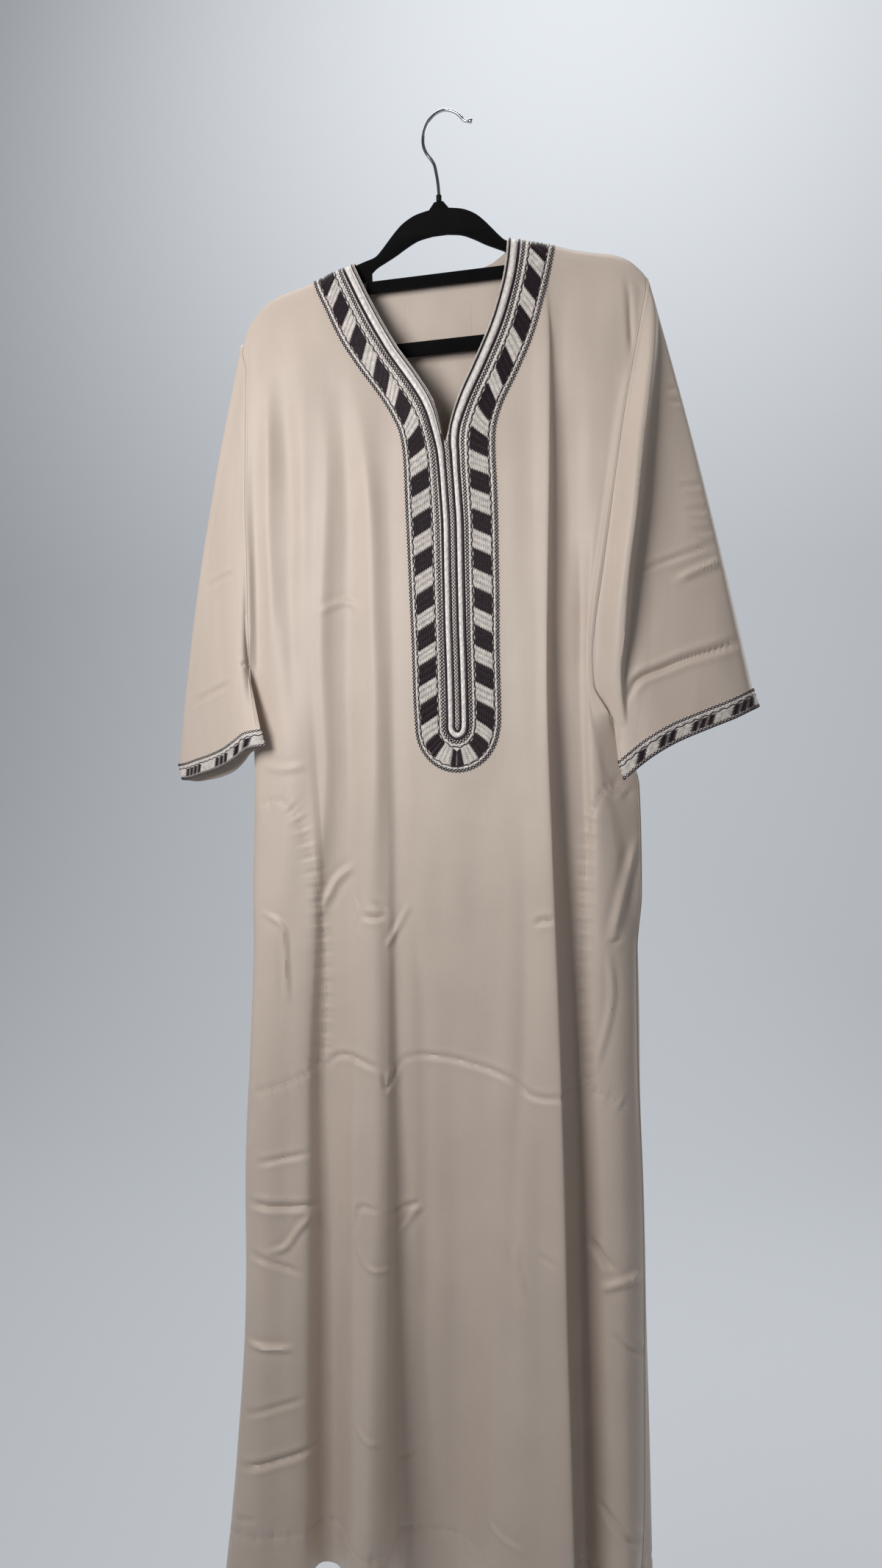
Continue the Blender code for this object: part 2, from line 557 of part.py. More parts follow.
def cuff_loop(side, shares):
    """Points of the cuff's edge (mm): front half from outer fold to underarm seam, then the back half."""
    route = spread(CUFF_EDGE[side], shares)
    front, back = [], []
    for share, point in zip(shares, route):
        room = fold_room(share, CUFF_OPENING[side])
        front.append(point - (0, room, 0))
        drop = CUFF_BACK_DROP[side] * math.sin(math.pi * share)
        back.append(point + (0, room, drop))
    return front, back[1:-1]


def sleeve_rings(side):
    """Grid of a sleeve (mm): one line for each point of the armhole loop, rows from armhole to cuff."""
    outward = -1 if side == "right" else 1
    front, back, shares = armhole_loop(side)
    cuff_front, cuff_back = cuff_loop(side, shares)
    arm = front + back[::-1]
    cuff = cuff_front + cuff_back[::-1]
    shares = list(shares) + list(shares[1:-1])[::-1]
    faces = [-1] * len(front) + [1] * len(back)
    tangent = np.array(shoulder_point(ARMHOLE_SEAT[side] + outward)) - shoulder_point(ARMHOLE_SEAT[side])
    tangent = unit(np.array((tangent[0], 0, tangent[1])))
    gap, strip = SEAM_GAP / MM, SEAM_STRIP / MM
    lines, places = [], {}
    for a, c, share, face in zip(arm, cuff, shares, faces):
        along_top = math.exp(-share / OUTER_PINCH_SHARE)
        at_underarm = blend(UNDERARM_TURN, 1 - INNER_FOLD_SHARE, share)
        leave = np.array((outward, 0, 0)) * (1 - along_top) + tangent * along_top
        rise = c + np.array(CUFF_RISE[side])
        below = unit(rise - a) + np.array(UNDERARM_LEAVE[side])
        leave = leave * (1 - at_underarm) + below * at_underarm
        start = a + np.array((outward, 0, 0)) * gap + tangent * gap * along_top
        first = start + leave * strip * (1 + UNDERARM_STEP * at_underarm)
        line = [start]
        if face < 0:
            places[share] = ring_places(side, first, rise)
        for t in places[share]:
            point = first * (1 - t) + rise * t
            point[0] += outward * OUTER_FOLD_BULGE[side] * math.sin(math.pi * t) * (1 - share)
            if side == "left" and face < 0 and share > 0:
                point[1] -= left_roll_depth(point[0], point[2]) * blend(1, ROLL_EASE, share)
            line.append(point)
        line.append(c)
        lines.append(line)
    return np.array(lines)


def build_sleeves(parts):
    for side in ("right", "left"):
        grid = sleeve_rings(side)
        flip = side == "right"
        sleeve_mesh = surface_mesh("sleeve_" + side, grid, flip, ring=True)
        sleeve = add_piece("sleeve_" + side, sleeve_mesh, "cloth", parts)
        thicken(sleeve, CLOTH, -1)
        cuff_mesh = surface_mesh("cuff_band_" + side, grid[:, -2:], flip, ring=True)
        cuff = add_piece("cuff_band_" + side, cuff_mesh, "embroidery", parts)
        thicken(cuff, BAND_THICKNESS, 1 + 2 * SEAM_GAP / BAND_THICKNESS)


def mirrored(half):
    """Closed outline from a half that starts and ends on the centre line or beside it."""
    return list(half) + [(-x, z) for x, z in half[::-1] if x > 0]


def add_outline(curve, points):
    spline = curve.splines.new("POLY")
    spline.points.add(len(points) - 1)
    for slot, (x, z) in zip(spline.points, points):
        slot.co = (x * MM, z * MM, 0, 1)
    spline.use_cyclic_u = True


def arm_top_points(side):
    """The arm's top edge under the cloth, from the cloth's own seats, so that both have the same facets."""
    sign = -1 if side == "right" else 1
    seats = sorted(abs(fold[1]) for fold in FRONT_FOLDS if fold[1] * sign > 80)
    seats += [abs(ARMHOLE_SEAT[side]) - SEAM_STRIP / MM]
    line = np.array([(seat, shoulder_height(seat)) for seat in seats])
    points = []
    for before, here, after in zip(line, line[1:], line[2:]):
        along = unit(unit(here - before) + unit(after - here))
        points.append(here + ARM_UNDER_CLOTH / MM * np.array((along[1], -along[0])))
    return [(line[0][0], line[0][1] - ARM_UNDER_CLOTH / MM)] + points


def build_hanger(parts):
    """Flat velvet frame with a tie bar and a pants bar, a ferrule and the wire hook."""
    place = Matrix.Translation((HANGER_SHIFT, 0, 0)) @ Matrix.Rotation(-HANGER_TILT, 4, "Y")
    curve = bpy.data.curves.new("hanger_frame", "CURVE")
    curve.dimensions = "2D"
    curve.fill_mode = "BOTH"
    curve.extrude = HANGER_THICKNESS / 2
    right_half = list(ARM_TOP) + arm_top_points("left") + list(ARM_END)
    left_half = list(ARM_TOP)[1:] + arm_top_points("right") + list(ARM_END)
    add_outline(curve, right_half + [(-x, z) for x, z in left_half[::-1]])
    add_outline(curve, mirrored(ARCH))
    add_outline(curve, mirrored(ARM_UNDERSIDE))
    frame = add_piece("hanger_frame", curve, "velvet", parts)
    frame.matrix_world = place @ Matrix.Rotation(math.pi / 2, 4, "X")
    weld = frame.modifiers.new("weld", "WELD")
    weld.merge_threshold = MERGE
    soften = frame.modifiers.new("soft edges", "BEVEL")
    soften.width = HANGER_EDGE
    soften.segments = 1
    soften.limit_method = "ANGLE"
    soften.angle_limit = math.radians(50)

    route = np.array([(x, 0, z) for x, z in HOOK_ROUTE], float)
    length = np.linalg.norm(np.diff(route, axis=0), axis=1).sum() * MM
    ball = BALL_RADIUS * (1 + np.cos(BALL_TURNS))
    fractions = np.concatenate([ball / length, np.linspace(BALL_NECK * ball[-1] / length, 1, HOOK_POINTS)])
    points = spread(route, fractions) * MM
    radii = [max(math.sin(turn) * BALL_RADIUS / WIRE_RADIUS, TIP_RADIUS) for turn in BALL_TURNS]
    radii += [1] * HOOK_POINTS
    wire = bpy.data.curves.new("hanger_hook", "CURVE")
    wire.dimensions = "3D"
    wire.bevel_depth = WIRE_RADIUS
    wire.bevel_resolution = 2
    wire.use_fill_caps = True
    spline = wire.splines.new("POLY")
    spline.points.add(len(points) - 1)
    for slot, point, radius in zip(spline.points, points, radii):
        slot.co = (*point, 1)
        slot.radius = radius
    add_piece("hanger_hook", wire, "chrome", parts)

    profile = bpy.data.meshes.new("hook_ferrule")
    bore = WIRE_RADIUS + SEAM_GAP
    corners = (
        (FERRULE_RADIUS, FERRULE_TOP), (FERRULE_RADIUS, FERRULE_BOTTOM), (bore, FERRULE_BOTTOM),
        (bore, FERRULE_TOP),
    )
    profile.from_pydata([(x, 0, z) for x, z in corners], [(0, 1), (1, 2), (2, 3), (3, 0)], [])
    ferrule = add_piece("hook_ferrule", profile, "collar", parts)
    ferrule.location.x = points[-1][0]
    turn = ferrule.modifiers.new("turn", "SCREW")
    turn.angle = math.tau
    turn.steps = 16
    turn.render_steps = 16
    turn.use_merge_vertices = True
    turn.merge_threshold = MERGE


def main():
    for old in list(bpy.data.objects):
        bpy.data.objects.remove(old)
    parts = bpy.data.collections.new(OBJECT_NAME)
    cutters = bpy.data.collections.new("cutters")
    for collection in (parts, cutters):
        bpy.context.scene.collection.children.link(collection)
    build_body(parts, cutters)
    build_sleeves(parts)
    build_hanger(parts)


main()
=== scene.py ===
import math
from contextlib import contextmanager
from functools import cache

import bmesh
import bpy
import numpy as np
from bpy.props import FloatProperty, FloatVectorProperty, PointerProperty
from mathutils import Matrix, Vector
from mathutils.bvhtree import BVHTree


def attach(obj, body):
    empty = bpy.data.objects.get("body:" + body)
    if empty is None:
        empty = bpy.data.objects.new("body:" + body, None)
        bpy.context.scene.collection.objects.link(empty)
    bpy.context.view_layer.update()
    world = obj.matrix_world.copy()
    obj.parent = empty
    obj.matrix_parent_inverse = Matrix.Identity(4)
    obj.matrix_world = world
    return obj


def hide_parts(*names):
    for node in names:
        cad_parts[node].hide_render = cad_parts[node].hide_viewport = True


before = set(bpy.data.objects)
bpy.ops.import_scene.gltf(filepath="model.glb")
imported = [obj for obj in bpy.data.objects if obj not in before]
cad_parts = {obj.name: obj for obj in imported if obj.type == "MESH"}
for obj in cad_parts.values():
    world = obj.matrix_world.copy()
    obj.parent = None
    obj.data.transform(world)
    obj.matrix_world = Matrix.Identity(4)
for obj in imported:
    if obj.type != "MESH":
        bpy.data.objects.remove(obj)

bl_info = {
    "name": "Thobe Robe on Hanger",
    "version": (1, 0, 0),
    "blender": (4, 5, 0),
    "location": "3D View > Sidebar > Robe",
    "description": "Cloth, embroidery and hanger finishes of a thobe robe",
    "category": "Object",
}

# The tables are in millimetres, +X to the viewer's right and -Y towards the viewer; the meshes are in metres.
# Right and left are the wearer's.
MM = 0.001
ROW_STEP = 2.8  # rows of the cloth, apart
COLUMN_STEP = 3.4  # columns of the cloth, apart at the widest
# Triangles kept in the outer face of each piece of cloth, most of them where it bends
PANEL_FACES = {"front": 88000, "back": 74800}
SLEEVE_FACES = 42000

SEAM_GAP = 0.3  # between two pieces at a seam
SEAM_STRIP = 3.0  # width of the strip of cloth beside a seam
SEAM_TURN = 45  # the strip turns to the side over this height, above the underarm
UNDERARM_GAP = 1.2  # added to the seam's gap at the underarm
UNDERARM_REACH = 22  # and how far up and down from it
SLIT_TOP, SLIT_BOTTOM = -767, -900  # of the pocket mouth
SLIT_GAP = 3.2
HANGER_TILT = math.radians(1.4)  # as it hangs from its hook
HANGER_SHIFT = -4.5
YOKE_HEIGHT = 90  # from the rows at the shoulder seam down to the chest

# Outer face of the cloth along the hanger's arm: distance from the hanger's centre, height (mm)
SHOULDER_LINE = (
    (0, -147), (72, -147), (85, -150), (99, -154.5), (112, -158), (125, -162), (143, -168.5),
    (168, -175), (189, -180.5), (204, -189.5), (213, -199), (219, -208), (223, -217), (226, -228),
)

# Rows close to the shoulder seam: forward of the seam and below it (mm)
SHOULDER_ROWS = ((0.15, 0), (2, 0), (6, 4), (9, 14))
CHEST_HEIGHT = -270
# Rows lower down, heights in mm; both underarm points lie on one
LEVEL_ROWS = (
    CHEST_HEIGHT, -305, -340, -380, -420, -460, -500, -540, -570, -583, -595, -610, -625, -641, -656, -690,
    -730, -767, -800, -840, -870, -900, -950, -1010, -1070, -1150, -1230, -1300, -1380, -1460, -1535, -1582,
)
# Heights at which the fold tables give x and y (mm)
FOLD_LEVELS = (-270, -380, -600, -840, -1070, -1300, -1582)

# Front fold lines from the wearer's right side seam to the left one:
# name | seat on the hanger's arm | x at each fold level | y at each fold level (mm)
FRONT_FOLDS = (
    ("right roll", -215, (-211, -209, -205, -201, -206, -207, -218), (-15, -17, -14, -24, -32, -40, -56)),
    ("right pleat, outer", -201, (-193, -191, -187, -183, -186, -188, -196),
     (-16, -19, -21, -32, -37, -46, -58)),
    ("right pleat, inner", -185, (-174, -172, -168, -160, -164, -167, -172),
     (-17, -20, -27, -36, -36, -42, -50)),
    ("right pleat edge", -169, (-156, -152, -148, -132, -140, -140, -141),
     (-20, -24, -28, -34, -33, -36, -36)),
    ("right recess", -154, (-140, -138, -134, -124, -131, -131, -130), (-20, -23, -26, -27, -18, -14, -12)),
    ("right recess floor", -139, (-124, -122, -118, -112, -115, -116, -114),
     (-19, -22, -25, -26, -18, -14, -12)),
    ("roll rise", -122, (-108, -106, -102, -98, -99, -100, -99), (-19, -22, -26, -29, -27, -28, -32)),
    ("roll crease", -106, (-94, -92, -90, -87, -86, -84, -80), (-19, -23, -28, -33, -38, -45, -62)),
    ("roll crest", -88, (-78, -75, -72, -69, -67, -66, -62), (-18, -23, -30, -36, -42, -50, -68)),
    ("roll edge", -72, (-62, -60, -57, -51, -50, -49, -46), (-17, -22, -30, -34, -38, -42, -52)),
    ("valley rim", -56, (-50, -48, -46, -42, -42, -43, -41), (-17, -22, -29, -30, -26, -18, -6)),
    ("placket, right", -40, (-36, -33, -25, -22, -20, -22, -25), (-18, -24, -31, -32, -25, -14, 0)),
    ("placket, mid right", -18, (-14, -11, -2, 0, 2, 1, -2), (-18, -24, -33, -34, -26, -15, 1)),
    ("placket centre", 6, (8, 10, 21, 23, 24, 23, 21), (-18, -24, -34, -36, -28, -17, -1)),
    ("placket, mid left", 30, (34, 36, 45, 46, 46, 45, 42), (-18, -25, -34, -38, -34, -28, -24)),
    ("placket, left", 54, (58, 62, 69, 68, 67, 65, 62), (-18, -25, -35, -40, -40, -42, -52)),
    ("broad face", 75, (80, 84, 88, 88, 88, 88, 86), (-18, -26, -37, -43, -46, -52, -62)),
    ("pressed crease", 93, (98, 102, 107, 108, 109, 114, 116), (-19, -27, -40, -47, -50, -56, -66)),
    ("ridge", 108, (120, 121, 120, 128, 137, 143, 152), (-21, -30, -42, -50, -55, -60, -68)),
    ("ridge, turned under", 119, (121.5, 121, 118.5, 126, 134, 139, 147),
     (-18, -26, -36, -42, -45, -49, -54)),
    ("left recess wall", 130, (125, 124.5, 122.5, 129, 136, 140.5, 148), (-16, -20, -27, -28, -27, -26, -28)),
    ("left recess floor", 141, (132, 135, 135, 141, 147, 151, 157), (-15, -17, -22, -21, -17, -14, -16)),
    ("left recess rim", 153, (142, 147, 149, 156, 159, 162, 168), (-16, -18, -24, -26, -23, -21, -24)),
    ("left face, inner", 168, (160, 161, 154, 172, 176, 180, 185), (-18, -21, -27, -32, -30, -32, -38)),
    ("left face, outer", 185, (178, 174, 157.5, 190, 194, 198, 201), (-19, -22, -30, -28, -30, -34, -40)),
    ("left roll", 201, (197, 185, 160.5, 203, 206, 210, 209), (-18, -23, -30, -19, -22, -26, -34)),
)

# Back fold lines in the same order and form
BACK_FOLDS = (
    ("right roll", -215, (-212, -211, -205, -201, -206, -208, -214), (10, 12, 9, 6, 8, 8, 0)),
    ("right fold", -201, (-188, -186, -182, -180, -184, -186, -188), (13, 17, 20, 22, 26, 28, 28)),
    ("right crest", -185, (-158, -156, -152, -152, -154, -156, -158), (14, 19, 24, 27, 31, 36, 46)),
    ("right dip", -154, (-126, -125, -123, -122, -123, -124, -126), (14, 18, 22, 24, 25, 27, 30)),
    ("mid right crest", -122, (-95, -94, -92, -91, -92, -92, -94), (14, 19, 25, 29, 35, 41, 52)),
    ("mid right dip", -88, (-64, -63, -61, -60, -60, -60, -62), (14, 19, 23, 25, 27, 30, 34)),
    ("centre right crest", -38, (-32, -31, -29, -28, -28, -28, -29), (14, 19, 25, 30, 36, 43, 53)),
    ("centre dip", -4, (0, 1, 2, 3, 4, 4, 4), (14, 18, 23, 26, 28, 30, 32)),
    ("centre left crest", 30, (33, 34, 35, 35, 36, 37, 38), (14, 20, 26, 31, 37, 44, 55)),
    ("mid left dip", 75, (66, 67, 67, 67, 68, 69, 70), (14, 19, 23, 26, 28, 31, 34)),
    ("mid left crest", 93, (98, 99, 99, 100, 101, 102, 104), (14, 20, 26, 30, 35, 42, 52)),
    ("left dip", 130, (130, 131, 130, 131, 133, 134, 136), (14, 19, 22, 25, 27, 29, 32)),
    ("left crest", 168, (161, 161, 160, 163, 166, 169, 172), (14, 19, 22, 27, 32, 38, 46)),
    ("left fold", 185, (188, 186, 182, 191, 195, 199, 204), (12, 17, 17, 21, 24, 27, 30)),
    ("left roll", 201, (207, 203, 192, 208, 213, 219, 226), (10, 13, 8, 6, 8, 10, 8)),
)

# Seats of the two armholes' tops on the hanger's arm (mm)
ARMHOLE_SEAT = {"right": -226, "left": 218}
# Armhole edge, below its top: height | x, y of the front edge | x, y of the back edge (mm)
ARMHOLE = {
    "right": (
        (-270, -219.5, -12, -224, 9), (-340, -219, -16, -223, 12), (-420, -218.5, -18, -222, 14),
        (-500, -215.5, -19, -221, 12), (-540, -215, -18.5, -220, 9), (-570, -214.5, -17, -217.5, 2),
        (-595, -213.5, -13, -213.5, -13),
    ),
    "left": (
        (-270, 209.5, -17, 214, 10), (-340, 198, -24, 211, 14), (-420, 187, -29, 209, 16),
        (-500, 177, -32, 206, 15), (-570, 167.5, -33, 201, 10), (-595, 165, -33, 198, 5),
        (-625, 167, -32, 192, -9), (-656, 182, -29, 182, -29),
    ),
}
# Side seam, from the underarm to the hem: height | x, y (mm)
SIDE_SEAM = {
    "right": (
        (-595, -213.5, -13), (-610, -215, -6), (-625, -215.4, -4), (-656, -214, -4), (-690, -210.5, -6),
        (-730, -209.4, -7), (-840, -209.2, -9), (-900, -209.2, -10), (-1010, -212.4, -13),
        (-1150, -217, -16), (-1300, -214, -20), (-1460, -221, -30), (-1582, -228.5, -42),
    ),
    "left": (
        (-656, 182, -29), (-668, 184.5, -20), (-690, 197, -12), (-730, 211, -7), (-840, 213.5, -6),
        (-900, 209, -6), (-1010, 210, -7), (-1150, 215, -8), (-1300, 217, -10), (-1460, 217, -14),
        (-1582, 212, -18),
    ),
}
# Lower edge of each cuff's front half, from the outer fold to the underarm seam: x, y, height (mm)
CUFF_EDGE = {
    "right": (
        (-328, 60, -723), (-312, 47, -722), (-286, 28, -717), (-262, 12, -712), (-240, -5, -706),
        (-222, -20, -698), (-207, -31, -690), (-187, -39, -687),
    ),
    "left": (
        (331, -8, -650), (308, -18, -662), (286, -23, -671), (249, -30, -687), (223, -37, -703),
        (207, -42, -716), (198, -43, -724),
    ),
}
CUFF_RISE = {"right": (-5, 0, 19), "left": (-6, 0, 19)}  # from the cuff's edge to its band's top (mm)
CUFF_OPENING = {"right": 20, "left": 22}  # between a cuff's front and back halves (mm)
CUFF_BACK_DROP = {"right": -7, "left": 3}  # back half's edge against the front one's (mm)
CUFF_ROWS = 5  # rows of cloth under a cuff's band
OUTER_TAPER, INNER_TAPER = 0.02, 0.008  # shares of the cuff in which its folds open
INNER_PINCH = 0.62  # share of the cuff where its inner fold tapers
INNER_FOLD = 2.8  # half the space kept in the inner fold (mm)
INNER_FOLD_SHARE = 0.025  # from the inner fold to the next line
UNDERARM_LEAVE = {"right": (-0.7, -0.4, 0), "left": (0.7, 0, 0.3)}  # added to the way to the cuff
UNDERARM_TURN = 0.88  # share of the armhole where that begins
UNDERARM_STEP = 0.4  # the seam's strip, this much wider there
UNDERARM_EASE = 0.8  # the sleeve, wider than the seam there (mm)
OUTER_FOLD_BULGE = {"right": 9, "left": 4}  # outer fold, out of the straight line (mm)
RINGS = 96  # rows of a sleeve between seam and cuff
RINGS_BEFORE, RINGS_ROUND = 16, 7  # of those, before and round the roll's edge

# Forward roll of the left sleeve beside the armhole: height | seam x | x of the roll's edge | depth (mm)
LEFT_ROLL = (
    (-215, 214, 228, 0), (-268, 210, 230, 8), (-326, 200, 226, 15), (-385, 191, 220, 20),
    (-451, 184, 214, 23), (-517, 175, 206, 23), (-568, 168, 202, 18), (-620, 168, 197, 10),
    (-670, 184, 200, 0),
)
ROLL_RISE = 0.8  # of the way to its edge, where it is full
ROLL_DROP = 5  # width over which it falls away (mm)
ROLL_REACH = (0.03, 0.7)  # of a sleeve line, in which its edge lies

# Neck opening, as seen from the front: x, height (mm). Both edges meet in the slit's end.
NECK_EDGE_RIGHT = (
    (-99, -130), (-97, -157), (-89, -174), (-80, -193), (-62, -227), (-45, -256), (-28, -280),
    (-12, -304), (-4, -318), (1, -335), (6, -356), (8.5, -364),
)
NECK_EDGE_LEFT = (
    (10, -364), (12, -356), (16, -338), (23, -316), (33, -294), (45, -267), (53, -248), (60, -228),
    (66, -206), (70, -189), (73, -166), (74, -130),
)
BACK_NECK_EDGE = (
    (-97, -130), (-96, -160), (-86, -173), (-68, -179), (-40, -180.5), (0, -178), (38, -172),
    (56, -165), (69, -156), (73, -146), (73, -130),
)
# Outer edge of the embroidered neck band, down each side and round its foot
BAND_EDGE_RIGHT = (
    (-146, -130), (-143, -173), (-126, -211), (-108, -247), (-87, -279), (-63, -312), (-50, -333),
    (-41, -352), (-36.5, -377), (-34, -420), (-25, -583), (-23, -640), (-21, -667),
)
BAND_EDGE_LEFT = (
    (70, -667), (70, -640), (68.5, -586), (62.5, -420), (61.5, -388), (64, -352), (71, -329), (87, -296),
    (105, -253), (117, -203), (124, -165), (125, -130),
)
BAND_FOOT = (24.5, -667, 45.5, 49)  # centre x, centre height, half width, drop
# Pocket bags inside the front: x, height (mm), from the side seam round the inner edge
POCKET_OUTLINE = {
    "right": (
        (-199, -750), (-172, -746), (-152, -764), (-137, -808), (-128, -859), (-123, -937), (-124, -990),
        (-135, -1035), (-157, -1049), (-199, -1064),
    ),
    "left": (
        (200, -738), (184, -728), (172, -742), (161, -775), (156, -824), (154, -884), (153, -949),
        (155, -990), (162, -1040), (182, -1048), (200, -1059),
    ),
}

# Middle of the placket below the slit: x, height
CENTRE_LINE = (
    (10.9, -364), (14.9, -408), (18.4, -451), (19.8, -500), (21.7, -564), (23.3, -601), (24.8, -649),
    (25, -670),
)
CENTRE_HALF = 2.2  # half the width of the middle braid
PLACKET_WIDTH = 46.5  # usual distance from the band's outer edge to the middle braid
GROUND_LIFT, GROUND_WALL = 0.3, 0.5  # ground stitch: its height over the cloth, and its thickness
GROUND_STEP, GROUND_LINES = 3.2, 15  # its points' distance along the band, and lines across it
# Outer edge of the embroidery on the left of the placket, where it is a little wider than the panel's band
EMBROIDERY_LEFT = (
    (71.3, -667), (71.2, -640), (69.6, -586), (69.2, -536), (68.2, -495), (67.2, -451), (65.6, -412),
    (63.8, -378), (64.6, -352),
)
FOOT_EASE = 0.6  # and on the left of its foot
# Layers of the neck band: distance on the placket and on the collar, from the outer edge or the inner one
BAND_LAYERS = {
    "outer braid": (1.8, 1.8, "outer"),
    "outer strip": (4.3, 4.5, "outer"),
    "outer wave": (6.6, 6.3, "outer"),
    "blocks from": (7.7, 7.2, "outer"),
    "blocks to": (26.8, 23.2, "outer"),
    "inner wave": (28.1, 24.6, "outer"),
    "inner strip": (30.3, 26.8, "outer"),
    "inner braid": (33.4, 30.4, "outer"),
    "dark line": (8.8, 12.6, "inner"),
    "pearls": (5.0, 8.1, "inner"),
    "edge line": (1.0, 2.3, "inner"),
}
COLLAR_START, COLLAR_FULL = 340, 420  # where placket turns to collar, along the edge from the foot
BLOCK_LENGTH = (21.0, 24.5)  # of a dark block, on the placket and on the collar
BLOCK_SLANT = (0.52, 0.82)  # how far its ends run along the band, on the placket and the collar
SLANT_START, SLANT_FULL = 14, 50  # from the foot
BLOCK_ROWS = 3  # rows of threads in a block, one after another
BLOCK_UNEVEN = 0.45  # each second thread starts this much later, the others earlier
BLOCK_FOOT = 6.2  # half the dark block at the foot
FOOT_SHARE, FOOT_REACH = 0.76, 40  # blocks this near the foot are this much of the others' length
# Middles of the dark blocks, along the middle of the blocks from the foot
BLOCK_CENTRES = {
    "right": (28, 65.8, 106.7, 143.7, 182.2, 224.2, 265.5, 308.8, 352.3, 395.2, 439.1, 486.1, 530.7, 572),
    "left": (28, 60.3, 101.1, 139.5, 179.4, 220.7, 262.7, 306, 347.7, 391, 433.6, 481.6, 526.5, 569),
}

# Layers of a cuff's band, from its upper edge (mm)
CUFF_LAYERS = {
    "upper braid": 1.7, "strip": 4.3, "wave": 6.6, "blocks from": 7.8, "blocks to": 16.2, "lower braid": 18.0,
}
# Ranges of the dark blocks along the front of each cuff, from the outer fold (mm)
CUFF_BLOCKS = {
    "right": ((29.8, 65.0), (94.4, 124.3), (136.7, 148.8), (155.0, 167.5)),
    "left": ((10.3, 38.3), (56.5, 81.8), (98.0, 118.1), (132.7, 145.0)),
}
CUFF_BACK_PERIOD = 38  # of the even blocks on its back
CUFF_CELL = 9  # length of one row of threads in a block
CUFF_SLANT = 0.75  # how far its ends run along the band
CUFF_HEIGHT = 19.6  # of the whole band
POCKET_DEPTH, POCKET_WALL = 1.3, 0.5  # from the front's outer face to the bag, and its cloth (mm)
POCKET_ROWS = (-720, -1080)  # heights that the bags lie between
THREAD_HALF, THREAD_HIGH = 0.48, 0.5  # half a thread's width, in thread pitches, and its height
THREAD_LIFT = 1.0  # of the satin threads' middle over the cloth
THREAD_ENDS = 0.5  # share of their thickness left at their ends
# Other strands of the embroidery: lift of their middle over the cloth, half width, half height (mm)
STRANDS = {
    "braid": (1.1, 0.5, 0.38),
    "middle braid": (1.1, 0.42, 0.33),
    "cuff braid": (1.1, 0.42, 0.36),
    "wave": (1.1, 0.5, 0.4),
    "bar": (1.05, 1.0, 0.55),
    "cuff bar": (1.0, 1.0, 0.55),
    "dark line": (1.05, 1.35, 0.55),
    "edge line": (1.05, 1.3, 0.55),
    "dot": (1.5, 0.33, 0.25),
    "pearl cord": (0.9, 2.1, 0.45),
    "pearl": (1.2, 1.95, 0.7),
    "middle": (0.7, CENTRE_HALF, 0.35),
    "cuff edge": (0.5, 0.5, 0.5),
}
CORD_STEP, CUFF_EDGE_STEP = 2.5, 3.0  # between the points of a plain cord
WAVE_STEP = 1.6  # and of a wavy one
WAVE_PERIOD = 9.8
WAVE_SWING, CUFF_WAVE_SWING = 0.65, 0.6  # to either side
BRAID_SWING = {  # half the height of a braid's diamonds
    "outer braid": 1.5, "inner braid": 1.8, "middle": 1.5, "upper braid": 1.4, "lower braid": 1.3,
}
BAR_PERIOD, BAR_LENGTH = 6.2, 4.9  # of the light bars
DOT_PERIOD, DOT_LENGTH = 2.2, 1.0
PEARL_PERIOD, PEARL_LENGTH = 8.8, 3.6
BEAD_ENDS = 0.7  # share of a bar's or bead's thickness left at its ends

# Hanger's outlines in its own frame: x, height (mm), one half, which the other mirrors
ARM_TOP = (
    (0, -98), (5, -98), (7.5, -101.5), (11, -106), (16, -106.8), (28, -109.8), (41, -117), (50, -125.5),
    (58, -134.5), (65, -142.5), (72, -149), (85, -153), (112, -161), (143, -171.5), (168, -178),
    (189, -183.5), (204, -192.5), (213, -207), (217, -217),
)
ARM_CORNERS = 3  # of its points, before its curve begins
ARM_END = ((219, -224), (220, -234), (219, -245), (213, -255), (203, -261), (188, -261.5))
ARCH = ((77, -165), (71, -160), (61, -155), (49, -149), (37, -142), (24, -136), (8, -133.2))
ARCH_CORNER = (77, -175.5)
UNDERSIDE_CORNER = (83, -187.5)
ARM_UNDERSIDE = (
    (83, -173), (100, -178), (125, -185), (150, -192), (175, -198), (190, -204), (201, -214), (206, -226),
    (205, -237), (198, -245), (186, -247),
)
HANGER_THICKNESS, HANGER_EDGE = 4.6, 0.9  # and the softening of its edges
# Hook wire's centre line: x, height (mm)
HOOK_ROUTE = (
    (35, -13.5), (30, -13.6), (26, -12.4), (22, -8), (17, -3), (10, 0.6), (2, 1.7), (-6, -1), (-13, -7),
    (-18, -17), (-20, -28), (-19, -36), (-16, -43), (-11, -50), (-7.5, -56), (-5.5, -64), (-3.4, -76),
    (-2.4, -86), (-2.2, -90), (-2.2, -97.4),
)
WIRE_RADIUS, BALL_RADIUS = 1.7, 2.6

HEM_STITCH = -1535  # height of the hem's stitches
HEM_SPAN = (-216, 210)  # and where they begin and end
NECK_STITCH = 7  # below the back neck's edge
SEAM_STITCHES = {"armhole": 2.6, "side": 3.4}  # from the seam
STITCH_RADIUS, TOPSTITCH_RADIUS = 0.22, 0.32
SIDE_CORD = 0.75  # radius of the side seams' rolled edge
# Stitches that hold a patch inside the back, below the neck
BACK_PATCH_STITCHES = ((-43, -197), (31, -204), (31, -252), (-43, -245), (-43, -197))
# Gathers along the pockets' and the hem's stitches: pitch, depth as a share of the set one, reach
POCKET_GATHERS = (11, 1.0, 9)
HEM_GATHERS = (12, 1.25, 8)
GROOVE_DEPTH, GROOVE_WIDTH = 0.9, 3.2  # of the stitches' own groove, the depth as a share too
